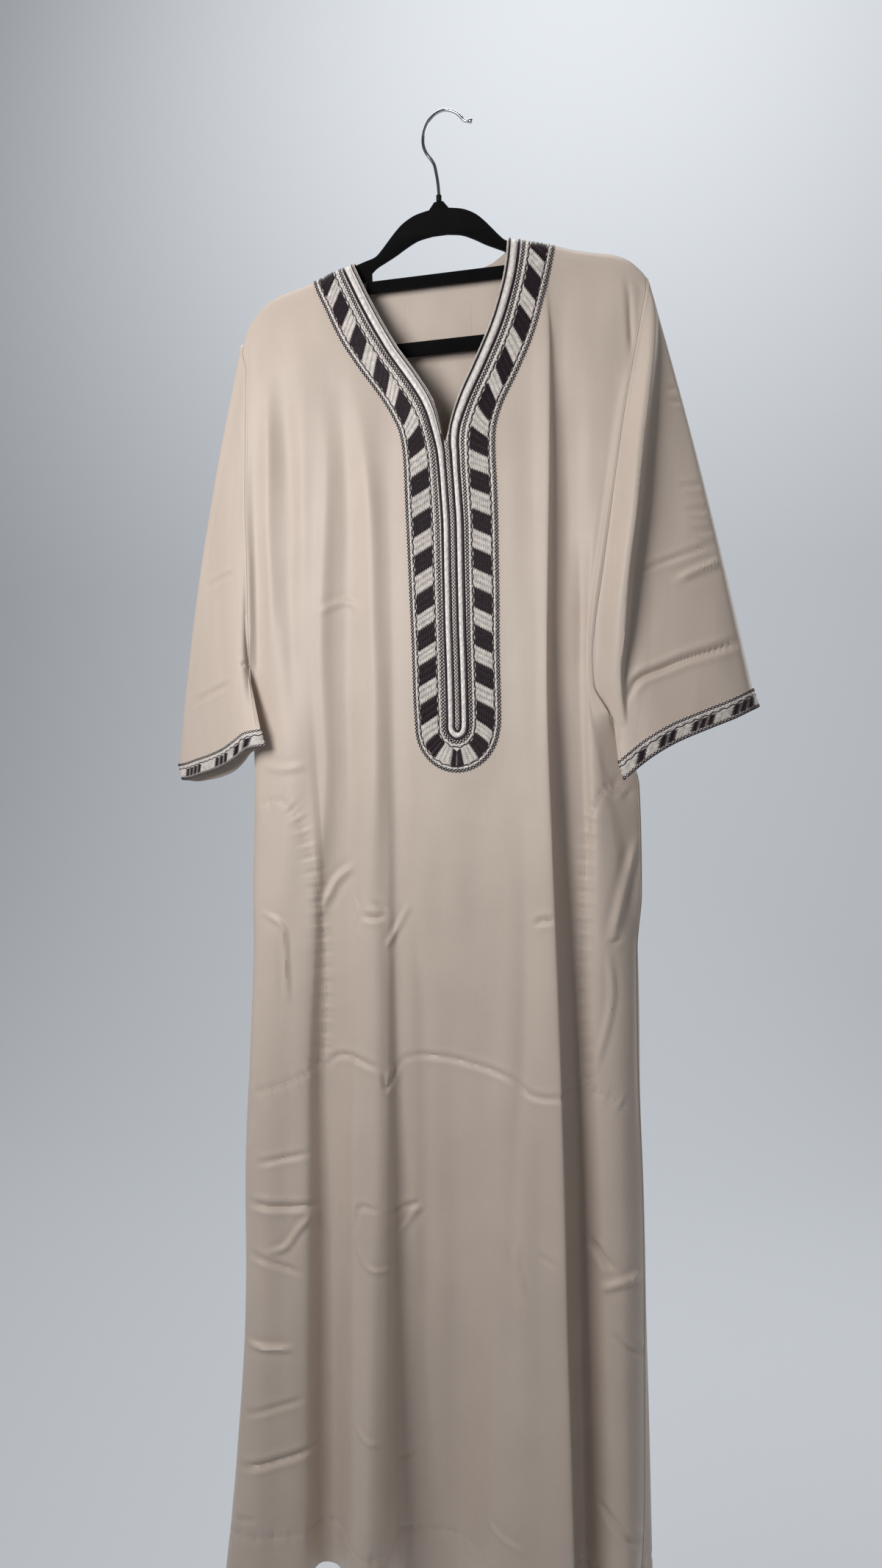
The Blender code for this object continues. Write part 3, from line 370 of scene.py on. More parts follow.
# A crease's section: fall of its middle, then height, place and fall of its shoulders, as shares of its width
CREASE_CORE = 0.38
SHOULDER_HEIGHT, SHOULDER_PLACE, SHOULDER_FALL = 0.3, 0.9, 0.45
# Creases fade out over these distances from the neck band and the shoulder, and columns from a side seam
BAND_FREE, SHOULDER_FREE, SEAM_FREE = 25, 60, 3

# Long waves of the hanging front, and then creases: name, width, depth (a ridge is positive, a trough
# negative), line in x and height
FRONT_WAVES = (
    ("side roll", 18, 2.6, ((-192, -286), (-190, -367), (-190, -448), (-186, -514), (-184, -586))),
    ("side valley", 28, -3.2,
     ((-172, -296), (-165, -385), (-162, -451), (-163, -515), (-162, -579), (-157, -659))),
    ("chest ridge", 22, 3,
     ((-126, -307), (-122, -387), (-123, -453), (-126, -580), (-124, -643), (-121, -707), (-124, -770),
      (-130, -841), (-135, -905))),
    ("chest valley", 27, -2.8,
     ((-106, -309), (-101, -389), (-97, -454), (-96, -644), (-93, -707), (-94, -833), (-91, -911),
      (-91, -989), (-95, -1083))),
    ("placket ridge", 22, 3,
     ((-89, -314), (-77, -390), (-70, -456), (-67, -550), (-63, -644), (-62, -770), (-63, -832))),
    ("roll ridge", 20, 1.6,
     ((-63, -817), (-59, -956), (-60, -1018), (-58, -1142), (-61, -1267), (-62, -1391), (-62, -1523))),
    ("trough, left", 16, -3, ((153, -482), (154, -587), (155, -648), (156, -708), (157, -768), (159, -843))),
    ("skirt valley, right", 22, -1.5,
     ((-22, -762), (-24, -847), (-15, -954), (-11, -1077), (-13, -1332), (-8, -1500))),
    ("skirt valley, left", 22, -1.6,
     ((98, -753), (98, -890), (95, -1010), (88, -1101), (85, -1222), (79, -1420))),
)
BACK_WAVES = (
    ("yoke valley", 26, -2.2, ((-20, -250), (-14, -330), (-16, -450), (-10, -560))),
    ("yoke ridge", 22, 2.4, ((58, -240), (62, -340), (57, -470), (64, -640))),
    ("blade ridge", 20, 2.2, ((-98, -260), (-101, -380), (-96, -520), (-103, -690))),
    ("skirt ridge, right", 20, 1.8, ((-40, -820), (-46, -980), (-41, -1190), (-47, -1420))),
    ("skirt valley, left", 22, -1.8, ((88, -780), (82, -960), (90, -1150), (84, -1390))),
)
FRONT_CREASES = (
    ("waist pucker, left", 7, -1.2, ((108, -871), (118, -867), (129, -867))),
    ("waist pucker, right", 7, -1.3, ((-78, -868), (-65, -870), (-53, -868))),
    ("waist small 1", 6, -0.9, ((-65, -853), (-52, -861))),
    ("waist small 2", 6, -0.9, ((-86, -845), (-80, -863), (-83, -883))),
    ("waist small 3", 6, 0.9, ((-28, -856), (-39, -878), (-52, -902))),
    ("curved ridge", 9, 1.4, ((-126, -863), (-118, -849), (-108, -831), (-89, -815))),
    ("chest crease", 8, 0.8, ((-131, -544), (-102, -531), (-85, -540))),
    ("hip line", 9, 0.7, ((-194, -709), (-169, -712), (-143, -709))),
    ("cross fold, right", 7, -1.3, ((-123, -1035), (-110, -1023), (-89, -1020), (-70, -1025), (-54, -1031))),
    ("cross fold, centre", 7, -1.2,
     ((-43, -1028), (-28, -1018), (4, -1016), (44, -1021), (83, -1031), (106, -1046), (161, -1042))),
    ("cross fold, drop", 5, -1.1, ((-54, -1031), (-51, -1051), (-41, -1026))),
    ("pocket ridge, right", 7, 1.5, ((-192, -869), (-169, -881), (-165, -912), (-162, -962))),
    ("pocket ridge, left", 9, 1.6, ((209, -786), (197, -836), (185, -889))),
    ("pocket pucker, left", 6, -1, ((184, -891), (194, -886))),
    ("pocket fold, left", 7, 1.1, ((182, -902), (185, -948), (168, -1022))),
    ("right face 1", 7, -1.2, ((-196, -1140), (-166, -1133), (-137, -1126))),
    ("right face 2", 8, -2.2, ((-203, -1184), (-166, -1185), (-132, -1183))),
    ("right face 3", 7, 1.4, ((-134, -1191), (-149, -1209), (-164, -1229), (-182, -1234))),
    ("right face 4", 7, -1.3, ((-202, -1237), (-174, -1246), (-144, -1255))),
    ("right face 5", 8, 1.8, ((-203, -1333), (-179, -1336), (-154, -1337))),
    ("right face 6", 7, -1.2, ((-205, -1407), (-174, -1399), (-142, -1390))),
    ("right face 7", 8, -2, ((-208, -1463), (-170, -1455), (-132, -1444))),
    ("right face 8", 6, -0.9, ((-214, -1518), (-190, -1516))),
    ("centre crescent 1", 6, -1.2, ((-84, -1206), (-79, -1177), (-57, -1178))),
    ("centre arc", 6, 1.1, ((-81, -1217), (-76, -1229), (-70, -1238), (-57, -1242), (-44, -1242))),
    ("centre crescent 2", 7, -1.3, ((-48, -1184), (-17, -1175))),
    ("centre crescent 3", 7, 1.1, ((-45, -1212), (-30, -1193), (-17, -1175))),
    ("centre low", 6, -0.9, ((-45, -1457), (-24, -1451))),
    ("low arc", 6, 1, ((-81, -1402), (-70, -1415), (-54, -1420))),
    ("left face, strong", 9, -2.4, ((162, -1196), (174, -1210), (187, -1224))),
    ("left face, fold", 9, 1.8, ((215, -1229), (194, -1236), (174, -1245))),
    ("left face, low", 8, -1.4, ((186, -1287), (202, -1299), (216, -1313))),
    ("left face, hem fold", 8, -2, ((171, -1461), (182, -1472), (198, -1487), (215, -1503))),
    ("skirt arc 1", 7, 1, ((87, -1203), (91, -1224), (99, -1245))),
    ("skirt arc 2", 6, -0.8, ((115, -1205), (130, -1215))),
    ("skirt arc 3", 7, 1, ((59, -1489), (79, -1499), (100, -1505))),
    ("armhole crease, left", 7, -1, ((199, -199), (202, -229), (203, -252), (205, -286))),
)
BACK_CREASES = (
    ("shoulder press, right", 8, -1.0, ((-150, -230), (-120, -236), (-70, -232))),
    ("cross fold, upper", 8, -1.2, ((-170, -480), (-90, -474), (10, -478), (90, -470), (170, -476))),
    ("cross fold, middle", 8, -1.3, ((-175, -905), (-80, -896), (20, -902), (110, -894), (180, -903))),
    ("cross fold, lower", 8, -1.2, ((-190, -1250), (-90, -1243), (10, -1251), (120, -1240), (190, -1247))),
    ("small, right low", 7, -1.4, ((-190, -1392), (-160, -1386), (-120, -1394))),
    ("small, right mid", 7, 1.3, ((-186, -1120), (-158, -1132), (-132, -1128))),
    ("small, left mid", 7, -1.5, ((132, -1060), (160, -1049), (190, -1056))),
    ("small, left low", 8, 1.5, ((128, -1402), (158, -1420), (196, -1414))),
    ("waist pucker, right", 7, -1.3, ((-110, -812), (-92, -806), (-70, -813))),
    ("waist pucker, left", 7, -1.2, ((88, -760), (104, -768), (126, -764))),
    ("arc, centre", 7, 1.0, ((-30, -1330), (-8, -1346), (22, -1340), (38, -1318))),
)
SLEEVE_CREASES = (
    ("right", "cross 1", 7, -1.2, ((-277, -503), (-234, -492))),
    ("right", "cross 2", 7, -1.5, ((-301, -635), (-268, -625), (-237, -616))),
    ("left", "strong", 8, -2.2,
     ((314, -582), (296, -590), (256, -603), (235, -612), (211, -623), (200, -641))),
    ("left", "faint 1", 7, -1, ((289, -484), (249, -499), (209, -512))),
    ("left", "soft", 9, 1.4, ((296, -501), (271, -512), (249, -523))),
    ("left", "edge 1", 6, -0.6, ((260, -319), (248, -322), (238, -324))),
    ("left", "edge 2", 6, -0.6, ((264, -335), (251, -337), (240, -336))),
    ("left", "edge 3", 6, -0.6, ((276, -422), (264, -425), (253, -425))),
    ("left", "edge 4", 6, -0.6, ((282, -448), (270, -450), (259, -450))),
    ("left", "edge 5", 6, -0.6, ((288, -469), (275, -472), (266, -471))),
    ("left", "underarm", 6, -1, ((167, -583), (172, -573), (177, -561))),
    ("right", "underarm pucker", 6, -1, ((-208, -589), (-215, -595), (-222, -596))),
)

# Floor's height and half its width; the backdrop's distance behind the robe and the turn's radius (metres)
FLOOR, FLOOR_REACH = -2.3, 14
COVE_BACK, COVE_TURN = 6.0, 3.0
CAMERA_PLACE = (0.245, -1.152, -0.728)
CAMERA_TURN = math.radians(12)
CAMERA_LENS = 24.96
WORLD_STRENGTH = 0.1
# Soft lights: name, place, what they face, size, power
LIGHTS = (
    ("key", (-0.66, -1.02, -0.26), (0, 0, -0.5), 0.7, 13.5),
    ("fill", (1.6, -1.7, 0.2), (0, 0, -0.7), 1.5, 3),
    ("back light", (2.4, 2.0, 0.4), (0, 0, -0.8), 1.5, 24),
    ("backdrop light", (-0.4, 0.9, 5.2), (0.4, 6, 1.2), 4.0, 350),
)

# ---------------------------------------------------------------- form


def hex_colour(code):
    """sRGB hex value to linear red, green, blue."""
    parts = [int(code[i:i + 2], 16) / 255 for i in (0, 2, 4)]
    return tuple(c / 12.92 if c <= 0.04045 else ((c + 0.055) / 1.055) ** 2.4 for c in parts)


def smooth_curve(knots, values, at):
    """Monotone cubic through values at rising knots, read at one place or many."""
    x = np.asarray(knots, float)
    y = np.asarray(values, float)
    step = np.diff(x)
    slope = np.diff(y) / step
    tangent = np.zeros(len(x))
    tangent[0], tangent[-1] = slope[0], slope[-1]
    for i in range(1, len(x) - 1):
        if slope[i - 1] * slope[i] > 0:
            w1 = 2 * step[i] + step[i - 1]
            w2 = step[i] + 2 * step[i - 1]
            tangent[i] = (w1 + w2) / (w1 / slope[i - 1] + w2 / slope[i])
    at = np.asarray(at, float)
    k = np.clip(np.searchsorted(x, at) - 1, 0, len(step) - 1)
    t = np.clip((at - x[k]) / step[k], 0, 1)
    a = (1 + 2 * t) * (1 - t) ** 2
    b = t * (1 - t) ** 2
    c = t * t * (3 - 2 * t)
    d = t * t * (t - 1)
    return a * y[k] + b * step[k] * tangent[k] + c * y[k + 1] + d * step[k] * tangent[k + 1]


def blend(start, end, at):
    """0 at start, 1 at end, smooth between; one place or many."""
    t = np.clip((np.asarray(at, float) - start) / (end - start), 0, 1)
    return t * t * (3 - 2 * t)


def rounded(points, steps):
    """Points along axis 0 joined by a smooth centripetal curve; steps in every span, or a list of them."""
    p = np.asarray(points, float)
    if isinstance(steps, int):
        steps = [steps] * (len(p) - 1)
    ends = np.concatenate([[2 * p[0] - p[1]], p, [2 * p[-1] - p[-2]]])
    knots = np.sqrt(np.linalg.norm(np.diff(ends, axis=0), axis=-1))[..., None] + 1e-3
    out = []
    for i in range(len(p) - 1):
        p0, p1, p2, p3 = ends[i:i + 4]
        a, b, c = knots[i:i + 3]
        leave = b * ((p1 - p0) / a - (p2 - p0) / (a + b) + (p2 - p1) / b)
        arrive = b * ((p2 - p1) / b - (p3 - p1) / (b + c) + (p3 - p2) / c)
        for t in np.arange(steps[i]) / steps[i]:
            out.append((1 + 2 * t) * (1 - t) ** 2 * p1 + t * (1 - t) ** 2 * leave
                       + t * t * (3 - 2 * t) * p2 + t * t * (t - 1) * arrive)
    out.append(p[-1])
    return np.array(out)


def lengths(route):
    """Distance along a route, from its start to each point."""
    return np.concatenate([[0], np.cumsum(np.linalg.norm(np.diff(route, axis=0), axis=1))])


def even(route, step):
    """The same line with points this far apart."""
    route = np.asarray(route, float)
    length = lengths(route)
    at = np.linspace(0, length[-1], max(2, round(length[-1] / step) + 1))
    return np.column_stack([np.interp(at, length, route[:, k]) for k in range(route.shape[1])])


def on_hanger(x, z):
    """Hanger-frame x and height to the robe's x and height."""
    cosine, sine = math.cos(HANGER_TILT), math.sin(HANGER_TILT)
    return x * cosine - z * sine + HANGER_SHIFT, x * sine + z * cosine


def shoulder_point(seat):
    """x and height of the shoulder seam above a seat on the hanger's arm."""
    places, heights = zip(*SHOULDER_LINE)
    return on_hanger(seat, float(smooth_curve(places, heights, abs(seat))))


@cache
def shoulder_rows():
    """Rows close to the shoulder seam, with more of them between the table's own."""
    return rounded(SHOULDER_ROWS, (2, 3, 4))


@cache
def level_rows():
    """Heights of all rows from the chest down."""
    rows = [LEVEL_ROWS[0]]
    for upper, lower in zip(LEVEL_ROWS, LEVEL_ROWS[1:]):
        rows += list(np.linspace(upper, lower, math.ceil((upper - lower) / ROW_STEP) + 1)[1:])
    return rows


def row_heights(seat):
    """Heights of all rows of a fold line that starts at this seat."""
    top = shoulder_point(seat)[1]
    heights = [top - drop for _, drop in shoulder_rows()]
    between = np.linspace(heights[-1], CHEST_HEIGHT, round(YOKE_HEIGHT / ROW_STEP) + 1)[1:-1]
    return np.array(heights + list(between) + level_rows())


def read_down(heights, values, at):
    """Smooth curve over falling heights."""
    return smooth_curve([-h for h in heights], values, -np.asarray(at, float))


def fold_line(fold, face):
    """Points down one fold line; face is -1 on the front and +1 on the back."""
    _, seat, xs, ys = fold
    top_x, _ = shoulder_point(seat)
    heights = row_heights(seat)
    rows = shoulder_rows()
    knots = (heights[len(rows) - 1],) + FOLD_LEVELS
    x = read_down(knots, (top_x,) + xs, heights)
    y = read_down(knots, (face * rows[-1][0],) + ys, heights)
    y[:len(rows)] = face * rows[:, 0]
    return np.column_stack([x, y, heights])


def slit_opening(height):
    """How far the pocket mouth is open at this height."""
    t = (height - SLIT_BOTTOM) / (SLIT_TOP - SLIT_BOTTOM)
    return SLIT_GAP * math.sin(math.pi * t) if 0 < t < 1 else 0.0


@cache
def edge_lines(side, face):
    """The seam edge of a panel and the strip line beside it."""
    seat = ARMHOLE_SEAT[side]
    inward = 1 if side == "right" else -1
    column = 1 if face < 0 else 3
    underarm = ARMHOLE[side][-1][0]
    rows = shoulder_rows()
    count = len(rows)
    heights = row_heights(seat)
    top_x, _ = shoulder_point(seat)
    arm = [(heights[count - 1], top_x, face * rows[-1][0])]
    arm += [(row[0], row[column], row[column + 1]) for row in ARMHOLE[side]]
    edge, strip = [], []
    for i, height in enumerate(heights):
        levels, xs, ys = zip(*(arm if height >= underarm else SIDE_SEAM[side]))
        x, y = float(read_down(levels, xs, height)), float(read_down(levels, ys, height))
        turned = float(blend(underarm + SEAM_TURN, underarm, height))
        wider = UNDERARM_GAP * float(blend(UNDERARM_REACH, 0, abs(height - underarm)))
        y += face * (SEAM_GAP / 2 + wider) * turned
        if face < 0:
            y -= slit_opening(height)
        if i < count:
            x, y = top_x, face * rows[i][0]
        edge.append((x, y, height))
        strip.append((x + inward * SEAM_STRIP * (1 - turned), y + face * SEAM_STRIP * turned, height))
    strip_x, strip_top = shoulder_point(seat + inward * SEAM_STRIP)
    for i, (out, drop) in enumerate(rows):
        strip[i] = (strip_x, face * out, strip_top - drop)
    return np.array(edge), np.array(strip)


def facing(grid, face):
    """Unit normals of a grid of points that faces -Y or +Y."""
    normal = np.cross(np.gradient(grid, axis=0), np.gradient(grid, axis=1))
    normal /= np.linalg.norm(normal, axis=2, keepdims=True) + 1e-9
    return normal * (face * np.sign(normal[..., 1].mean()))


def away_from(points, line):
    """Distance in x and height from each point to a line, and how far along the line it is, from 0 to 1."""
    line = np.asarray(line, float)
    starts = lengths(line)
    nearest = np.full(points.shape[:-1], 1e9)
    along = np.zeros(points.shape[:-1])
    for a, b, span, start in zip(line, line[1:], np.diff(starts), starts):
        t = np.clip(((points - a) @ (b - a)) / span ** 2, 0, 1)
        gap = np.linalg.norm(points - a - t[..., None] * (b - a), axis=-1)
        closer = gap < nearest
        nearest = np.where(closer, gap, nearest)
        along = np.where(closer, (start + t * span) / starts[-1], along)
    return nearest, along


def crease(points, width, depth, line):
    """Soft trough or ridge along a line, with a low shoulder on either side, fading at its ends."""
    gap, along = away_from(points, rounded(line, 4))
    gap = gap / width
    shoulder = SHOULDER_HEIGHT * np.exp(-((gap - SHOULDER_PLACE) / SHOULDER_FALL) ** 2)
    across = np.exp(-(gap / CREASE_CORE) ** 2) - shoulder
    fade = np.clip(np.minimum(along, 1 - along) * 5, 0, 1)
    return depth * across * (0.15 + 0.85 * fade)


def puckers(points, line, gathers, seed):
    """Short uneven gathers across a stitched line, and the groove of its stitches."""
    pitch, depth, reach = gathers
    gap, along = away_from(points, line)
    place = along * lengths(line)[-1] / pitch
    wave = np.sin(math.tau * place + seed) * np.sin(math.tau * place * 0.37 + 2.1 * seed)
    groove = GROOVE_DEPTH * np.exp(-(gap / GROOVE_WIDTH) ** 2)
    return in_mm("pucker_depth") * depth * (wave * np.exp(-(gap / reach) ** 2) - groove)


def ripple(points, seed):
    """Low unevenness of hanging cloth, long down the cloth and short across it."""
    x, z = points[..., 0], points[..., 1]
    wave = np.zeros(x.shape)
    for i in range(7):
        across = (0.035 + 0.021 * i) * (1 if i % 2 else -1)
        wave += math.cos(seed + i * 2.4) * np.sin(across * x + 0.011 * (i % 4) * z + seed * (i + 1))
    return in_mm("ripple_depth") * wave / 7


@cache
def panel_grid(face):
    """Outer face of the front (-1) or back (1) panel, columns from the wearer's right to the left."""
    front = face < 0
    right_edge, right_strip = edge_lines("right", face)
    left_edge, left_strip = edge_lines("left", face)
    folds = [fold_line(fold, face) for fold in (FRONT_FOLDS if front else BACK_FOLDS)]
    lines = np.array([right_edge, right_strip] + folds + [left_strip, left_edge])
    gaps = np.linalg.norm(np.diff(lines, axis=0), axis=2).max(axis=1)
    grid = rounded(lines, [max(1, math.ceil(gap / COLUMN_STEP)) for gap in gaps])
    flat = grid[..., [0, 2]]
    sizes = bpy.context.scene.robe_sizes
    depth = np.zeros(flat.shape[:2])
    for _, width, height, line in FRONT_CREASES if front else BACK_CREASES:
        depth += crease(flat, width, height * sizes.crease_depth, line)
    for _, width, height, line in FRONT_WAVES if front else BACK_WAVES:
        depth += crease(flat, width, height * sizes.wave_depth, line)
    free = 1
    if front:
        for i, outline in enumerate(POCKET_OUTLINE.values()):
            depth += puckers(flat, rounded(outline, 4), POCKET_GATHERS, i + 1)
        free = blend(0, BAND_FREE, away_from_band(flat))
    depth += puckers(flat, [(x, HEM_STITCH) for x in (-230, 230)], HEM_GATHERS, 3)
    depth += ripple(flat, 1.3 + face)
    edge = np.minimum(np.arange(len(grid)), np.arange(len(grid))[::-1])[:, None]
    top = blend(0, SHOULDER_FREE, flat[:, :1, 1] - flat[..., 1])
    depth *= free * np.clip(edge / SEAM_FREE, 0, 1) * top
    return grid + facing(grid, face) * depth[..., None]


def away_from_band(flat):
    """Distance outside the embroidered band; 0 on it."""
    outline = np.array(band_outline())
    gap, _ = away_from(flat, np.concatenate([outline, outline[:1]]))
    return np.where(inside(flat, outline), 0, gap)


def inside(points, outline):
    """Whether each point lies inside a closed outline."""
    x, z = points[..., 0], points[..., 1]
    odd = np.zeros(x.shape, bool)
    for (x0, z0), (x1, z1) in zip(outline, np.roll(outline, -1, axis=0)):
        if z0 != z1:
            odd ^= ((z0 > z) != (z1 > z)) & (x < (x1 - x0) * (z - z0) / (z1 - z0) + x0)
    return odd


def band_outline():
    """Keyhole outline of the neck band, clockwise from the wearer's right shoulder."""
    x, z, half, drop = BAND_FOOT
    angles = np.linspace(0, math.pi, 25)[1:-1]
    foot = [(x - half * math.cos(a), z - drop * math.sin(a)) for a in angles]
    return list(BAND_EDGE_RIGHT) + foot + list(BAND_EDGE_LEFT)


def unit(vector):
    """The same direction, of length 1."""
    return vector / np.linalg.norm(vector)


def spread(route, fractions):
    """Points at these fractions of a route's length."""
    route = np.array(route, float)
    length = lengths(route)
    length /= length[-1]
    return np.column_stack([smooth_curve(length, route[:, k], fractions) for k in range(3)])


def fold_room(share, opening):
    """Half the space between a flattened tube's two halves, pinched at both folds."""
    near_outer = 1 - math.exp(-share / OUTER_TAPER)
    near_inner = 1 - math.exp(-(1 - share) / INNER_TAPER)
    room = INNER_FOLD + (opening / 2 - INNER_FOLD) * float(blend(1, INNER_PINCH, share))
    return room * near_outer * near_inner


def left_roll_depth(x, z):
    """How far the left sleeve's roll stands forward here."""
    heights, seams, edges, depths = zip(*LEFT_ROLL)
    seam, edge, depth = (read_down(heights, values, z) for values in (seams, edges, depths))
    rise = blend(0, ROLL_RISE, (x - seam) / (edge - seam))
    return depth * rise * blend(0.5, -0.5, (x - edge) / ROLL_DROP)


def ring_places(side, first, rise):
    """Places of the rings along a sleeve line, close together on the left sleeve's roll."""
    if side == "right":
        return np.linspace(0, 1, RINGS)
    heights, _, edges, _ = zip(*LEFT_ROLL)
    ways = np.linspace(*ROLL_REACH, 200)[:, None]
    points = first * (1 - ways) + rise * ways
    beyond = np.nonzero(points[:, 0] >= read_down(heights, edges, points[:, 2]))[0]
    edge = float(ways[beyond[0], 0]) if len(beyond) else ROLL_REACH[1]
    step = 0.5 * ROLL_DROP / max(abs(rise[0] - first[0]), 4 * ROLL_DROP)
    before = np.linspace(0, edge - step, RINGS_BEFORE, endpoint=False)
    turn = np.linspace(edge - step, edge + step, RINGS_ROUND)
    after = np.linspace(edge + step, 1, RINGS - RINGS_BEFORE - RINGS_ROUND + 1)[1:]
    return np.concatenate([before, turn, after])


def armhole_loop(side):
    """Armhole's edge down the front to the underarm, its back half, and the share of each front point."""
    underarm, x, y = ARMHOLE[side][-1][:3]
    front, back = (edge_lines(side, face)[0].copy() for face in (-1, 1))
    last = int(np.argmin(abs(front[:, 2] - underarm)))
    front[last, 1] -= UNDERARM_EASE
    back[last, 1] += UNDERARM_EASE
    top_x, top_z = shoulder_point(ARMHOLE_SEAT[side])
    half = [np.array((top_x, 0.0, top_z))] + list(front[1:last + 1])
    steps = [np.linalg.norm(b - a) for a, b in zip(half, half[1:])]
    shares = np.concatenate([[0], np.cumsum(steps)]) / sum(steps) * (1 - 2 * INNER_FOLD_SHARE)
    shares[-1] = 1 - INNER_FOLD_SHARE
    half.append(np.array((x, y, underarm - UNDERARM_EASE)))
    return half, list(back[1:last + 1]), np.append(shares, 1.0)


@cache
def sleeve_grid(side):
    """Outer face of a sleeve: one line for each point of the armhole, rows from armhole to cuff."""
    outward = -1 if side == "right" else 1
    front, back, half_shares = armhole_loop(side)
    route = spread(CUFF_EDGE[side], half_shares)
    cuff_front, cuff_back = [], []
    for share, point in zip(half_shares, route):
        room = fold_room(share, CUFF_OPENING[side])
        cuff_front.append(point - (0, room, 0))
        cuff_back.append(point + (0, room, CUFF_BACK_DROP[side] * math.sin(math.pi * share)))
    arm = front + back[::-1]
    cuff = cuff_front + cuff_back[1:-1][::-1]
    shares = list(half_shares) + list(half_shares[1:-1])[::-1]
    faces = [-1] * len(front) + [1] * len(back)
    ridge = np.array(shoulder_point(ARMHOLE_SEAT[side] + outward)) - shoulder_point(ARMHOLE_SEAT[side])
    ridge = unit(np.array((ridge[0], 0, ridge[1])))
    out = np.array((outward, 0, 0))
    lines, places = [], {}
    for a, c, share, face in zip(arm, cuff, shares, faces):
        along_top = math.exp(-share / OUTER_TAPER)
        at_underarm = float(blend(UNDERARM_TURN, 1 - INNER_FOLD_SHARE, share))
        rise = c + np.array(CUFF_RISE[side])
        leave = out * (1 - along_top) + ridge * along_top
        leave = leave * (1 - at_underarm) + (unit(rise - a) + UNDERARM_LEAVE[side]) * at_underarm
        start = a + (out + ridge * along_top) * SEAM_GAP
        first = start + leave * SEAM_STRIP * (1 + UNDERARM_STEP * at_underarm)
        if face < 0:
            places[share] = ring_places(side, first, rise)
        way = places[share][:, None]
        points = first * (1 - way) + rise * way
        points[:, 0] += outward * OUTER_FOLD_BULGE[side] * np.sin(math.pi * way[:, 0]) * (1 - share)
        if side == "left" and face < 0 and share > 0:
            points[:, 1] -= left_roll_depth(points[:, 0], points[:, 2]) * float(blend(1, 0.9, share))
        band = [rise + (c - rise) * t for t in np.arange(1, CUFF_ROWS + 1) / CUFF_ROWS]
        lines.append(np.concatenate([[start], points, band]))
    grid = np.array(lines)
    flat = grid[..., [0, 2]]
    depth = ripple(flat, 4.2 + outward)
    for name, _, width, height, line in SLEEVE_CREASES:
        if name == side:
            depth += crease(flat, width, height * bpy.context.scene.robe_sizes.crease_depth, line)
    row = np.arange(flat.shape[1])
    depth *= np.clip(np.minimum(row - 1, len(row) - 2 - CUFF_ROWS - row) / 8, 0, 1)
    depth *= np.clip(6 * np.sin(math.pi * np.array(shares)), 0, 1)[:, None]
    grid[..., 1] += np.array(faces)[:, None] * depth
    return grid


# ---------------------------------------------------------------- mesh


def in_mm(size):
    """One of the robe's set lengths, in mm."""
    return getattr(bpy.context.scene.robe_sizes, size) / MM


def new_object(name, data):
    """Object in the scene with this mesh, curve, light or camera."""
    shape = bpy.data.objects.new(name, data)
    bpy.context.scene.collection.objects.link(shape)
    return shape


def finished_mesh(shape):
    """What an object's modifiers make of it, as a mesh of its own."""
    return bpy.data.meshes.new_from_object(shape.evaluated_get(bpy.context.evaluated_depsgraph_get()))


@contextmanager
def mended(mesh):
    """A mesh as a bmesh for a while, written back at the end."""
    bm = bmesh.new()
    bm.from_mesh(mesh)
    yield bm
    bm.to_mesh(mesh)
    bm.free()


def new_piece(name, mesh, material, stands_for=()):
    """Piece of the robe with this mesh, riding on the frame."""
    piece = new_object(name, mesh)
    mesh.materials.append(material)
    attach(piece, "root")
    if stands_for:
        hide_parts(*stands_for)
    return piece


def sheet_mesh(name, grid, flip, closed=False):
    """Mesh of quads through a grid of points in mm, with a UV map in metres of cloth."""
    lines, count = grid.shape[:2]
    ring = np.concatenate([grid, grid[:1]]) if closed else grid
    across = np.column_stack([lengths(column) for column in ring.transpose(1, 0, 2)])
    down = np.array([lengths(line) for line in ring])
    faces, places = [], []
    for i in range(len(ring) - 1):
        k = (i + 1) % lines
        for j in range(count - 1):
            corner = [(i, i, j), (i + 1, k, j), (i + 1, k, j + 1), (i, i, j + 1)]
            corner = corner[::-1] if flip else corner
            faces.append([c[1] * count + c[2] for c in corner])
            places += [(across[c[0], c[2]], down[c[0], c[2]]) for c in corner]
    mesh = bpy.data.meshes.new(name)
    mesh.from_pydata((grid.reshape(-1, 3) * MM).tolist(), [], faces)
    layer = mesh.uv_layers.new(name="cloth")
    layer.data.foreach_set("uv", (np.array(places) * MM).ravel())
    mesh.polygons.foreach_set("use_smooth", [True] * len(faces))
    return mesh


def cutter(name, outline, front, back):
    """Prism with this outline, from front to back."""
    bm = bmesh.new()
    face = bm.faces.new([bm.verts.new((x * MM, front * MM, z * MM)) for x, z in outline])
    grown = bmesh.ops.extrude_face_region(bm, geom=[face])
    moved = [item for item in grown["geom"] if isinstance(item, bmesh.types.BMVert)]
    bmesh.ops.translate(bm, verts=moved, vec=(0, (back - front) * MM, 0))
    bmesh.ops.recalc_face_normals(bm, faces=bm.faces)
    mesh = bpy.data.meshes.new(name)
    bm.to_mesh(mesh)
    bm.free()
    return new_object(name, mesh)


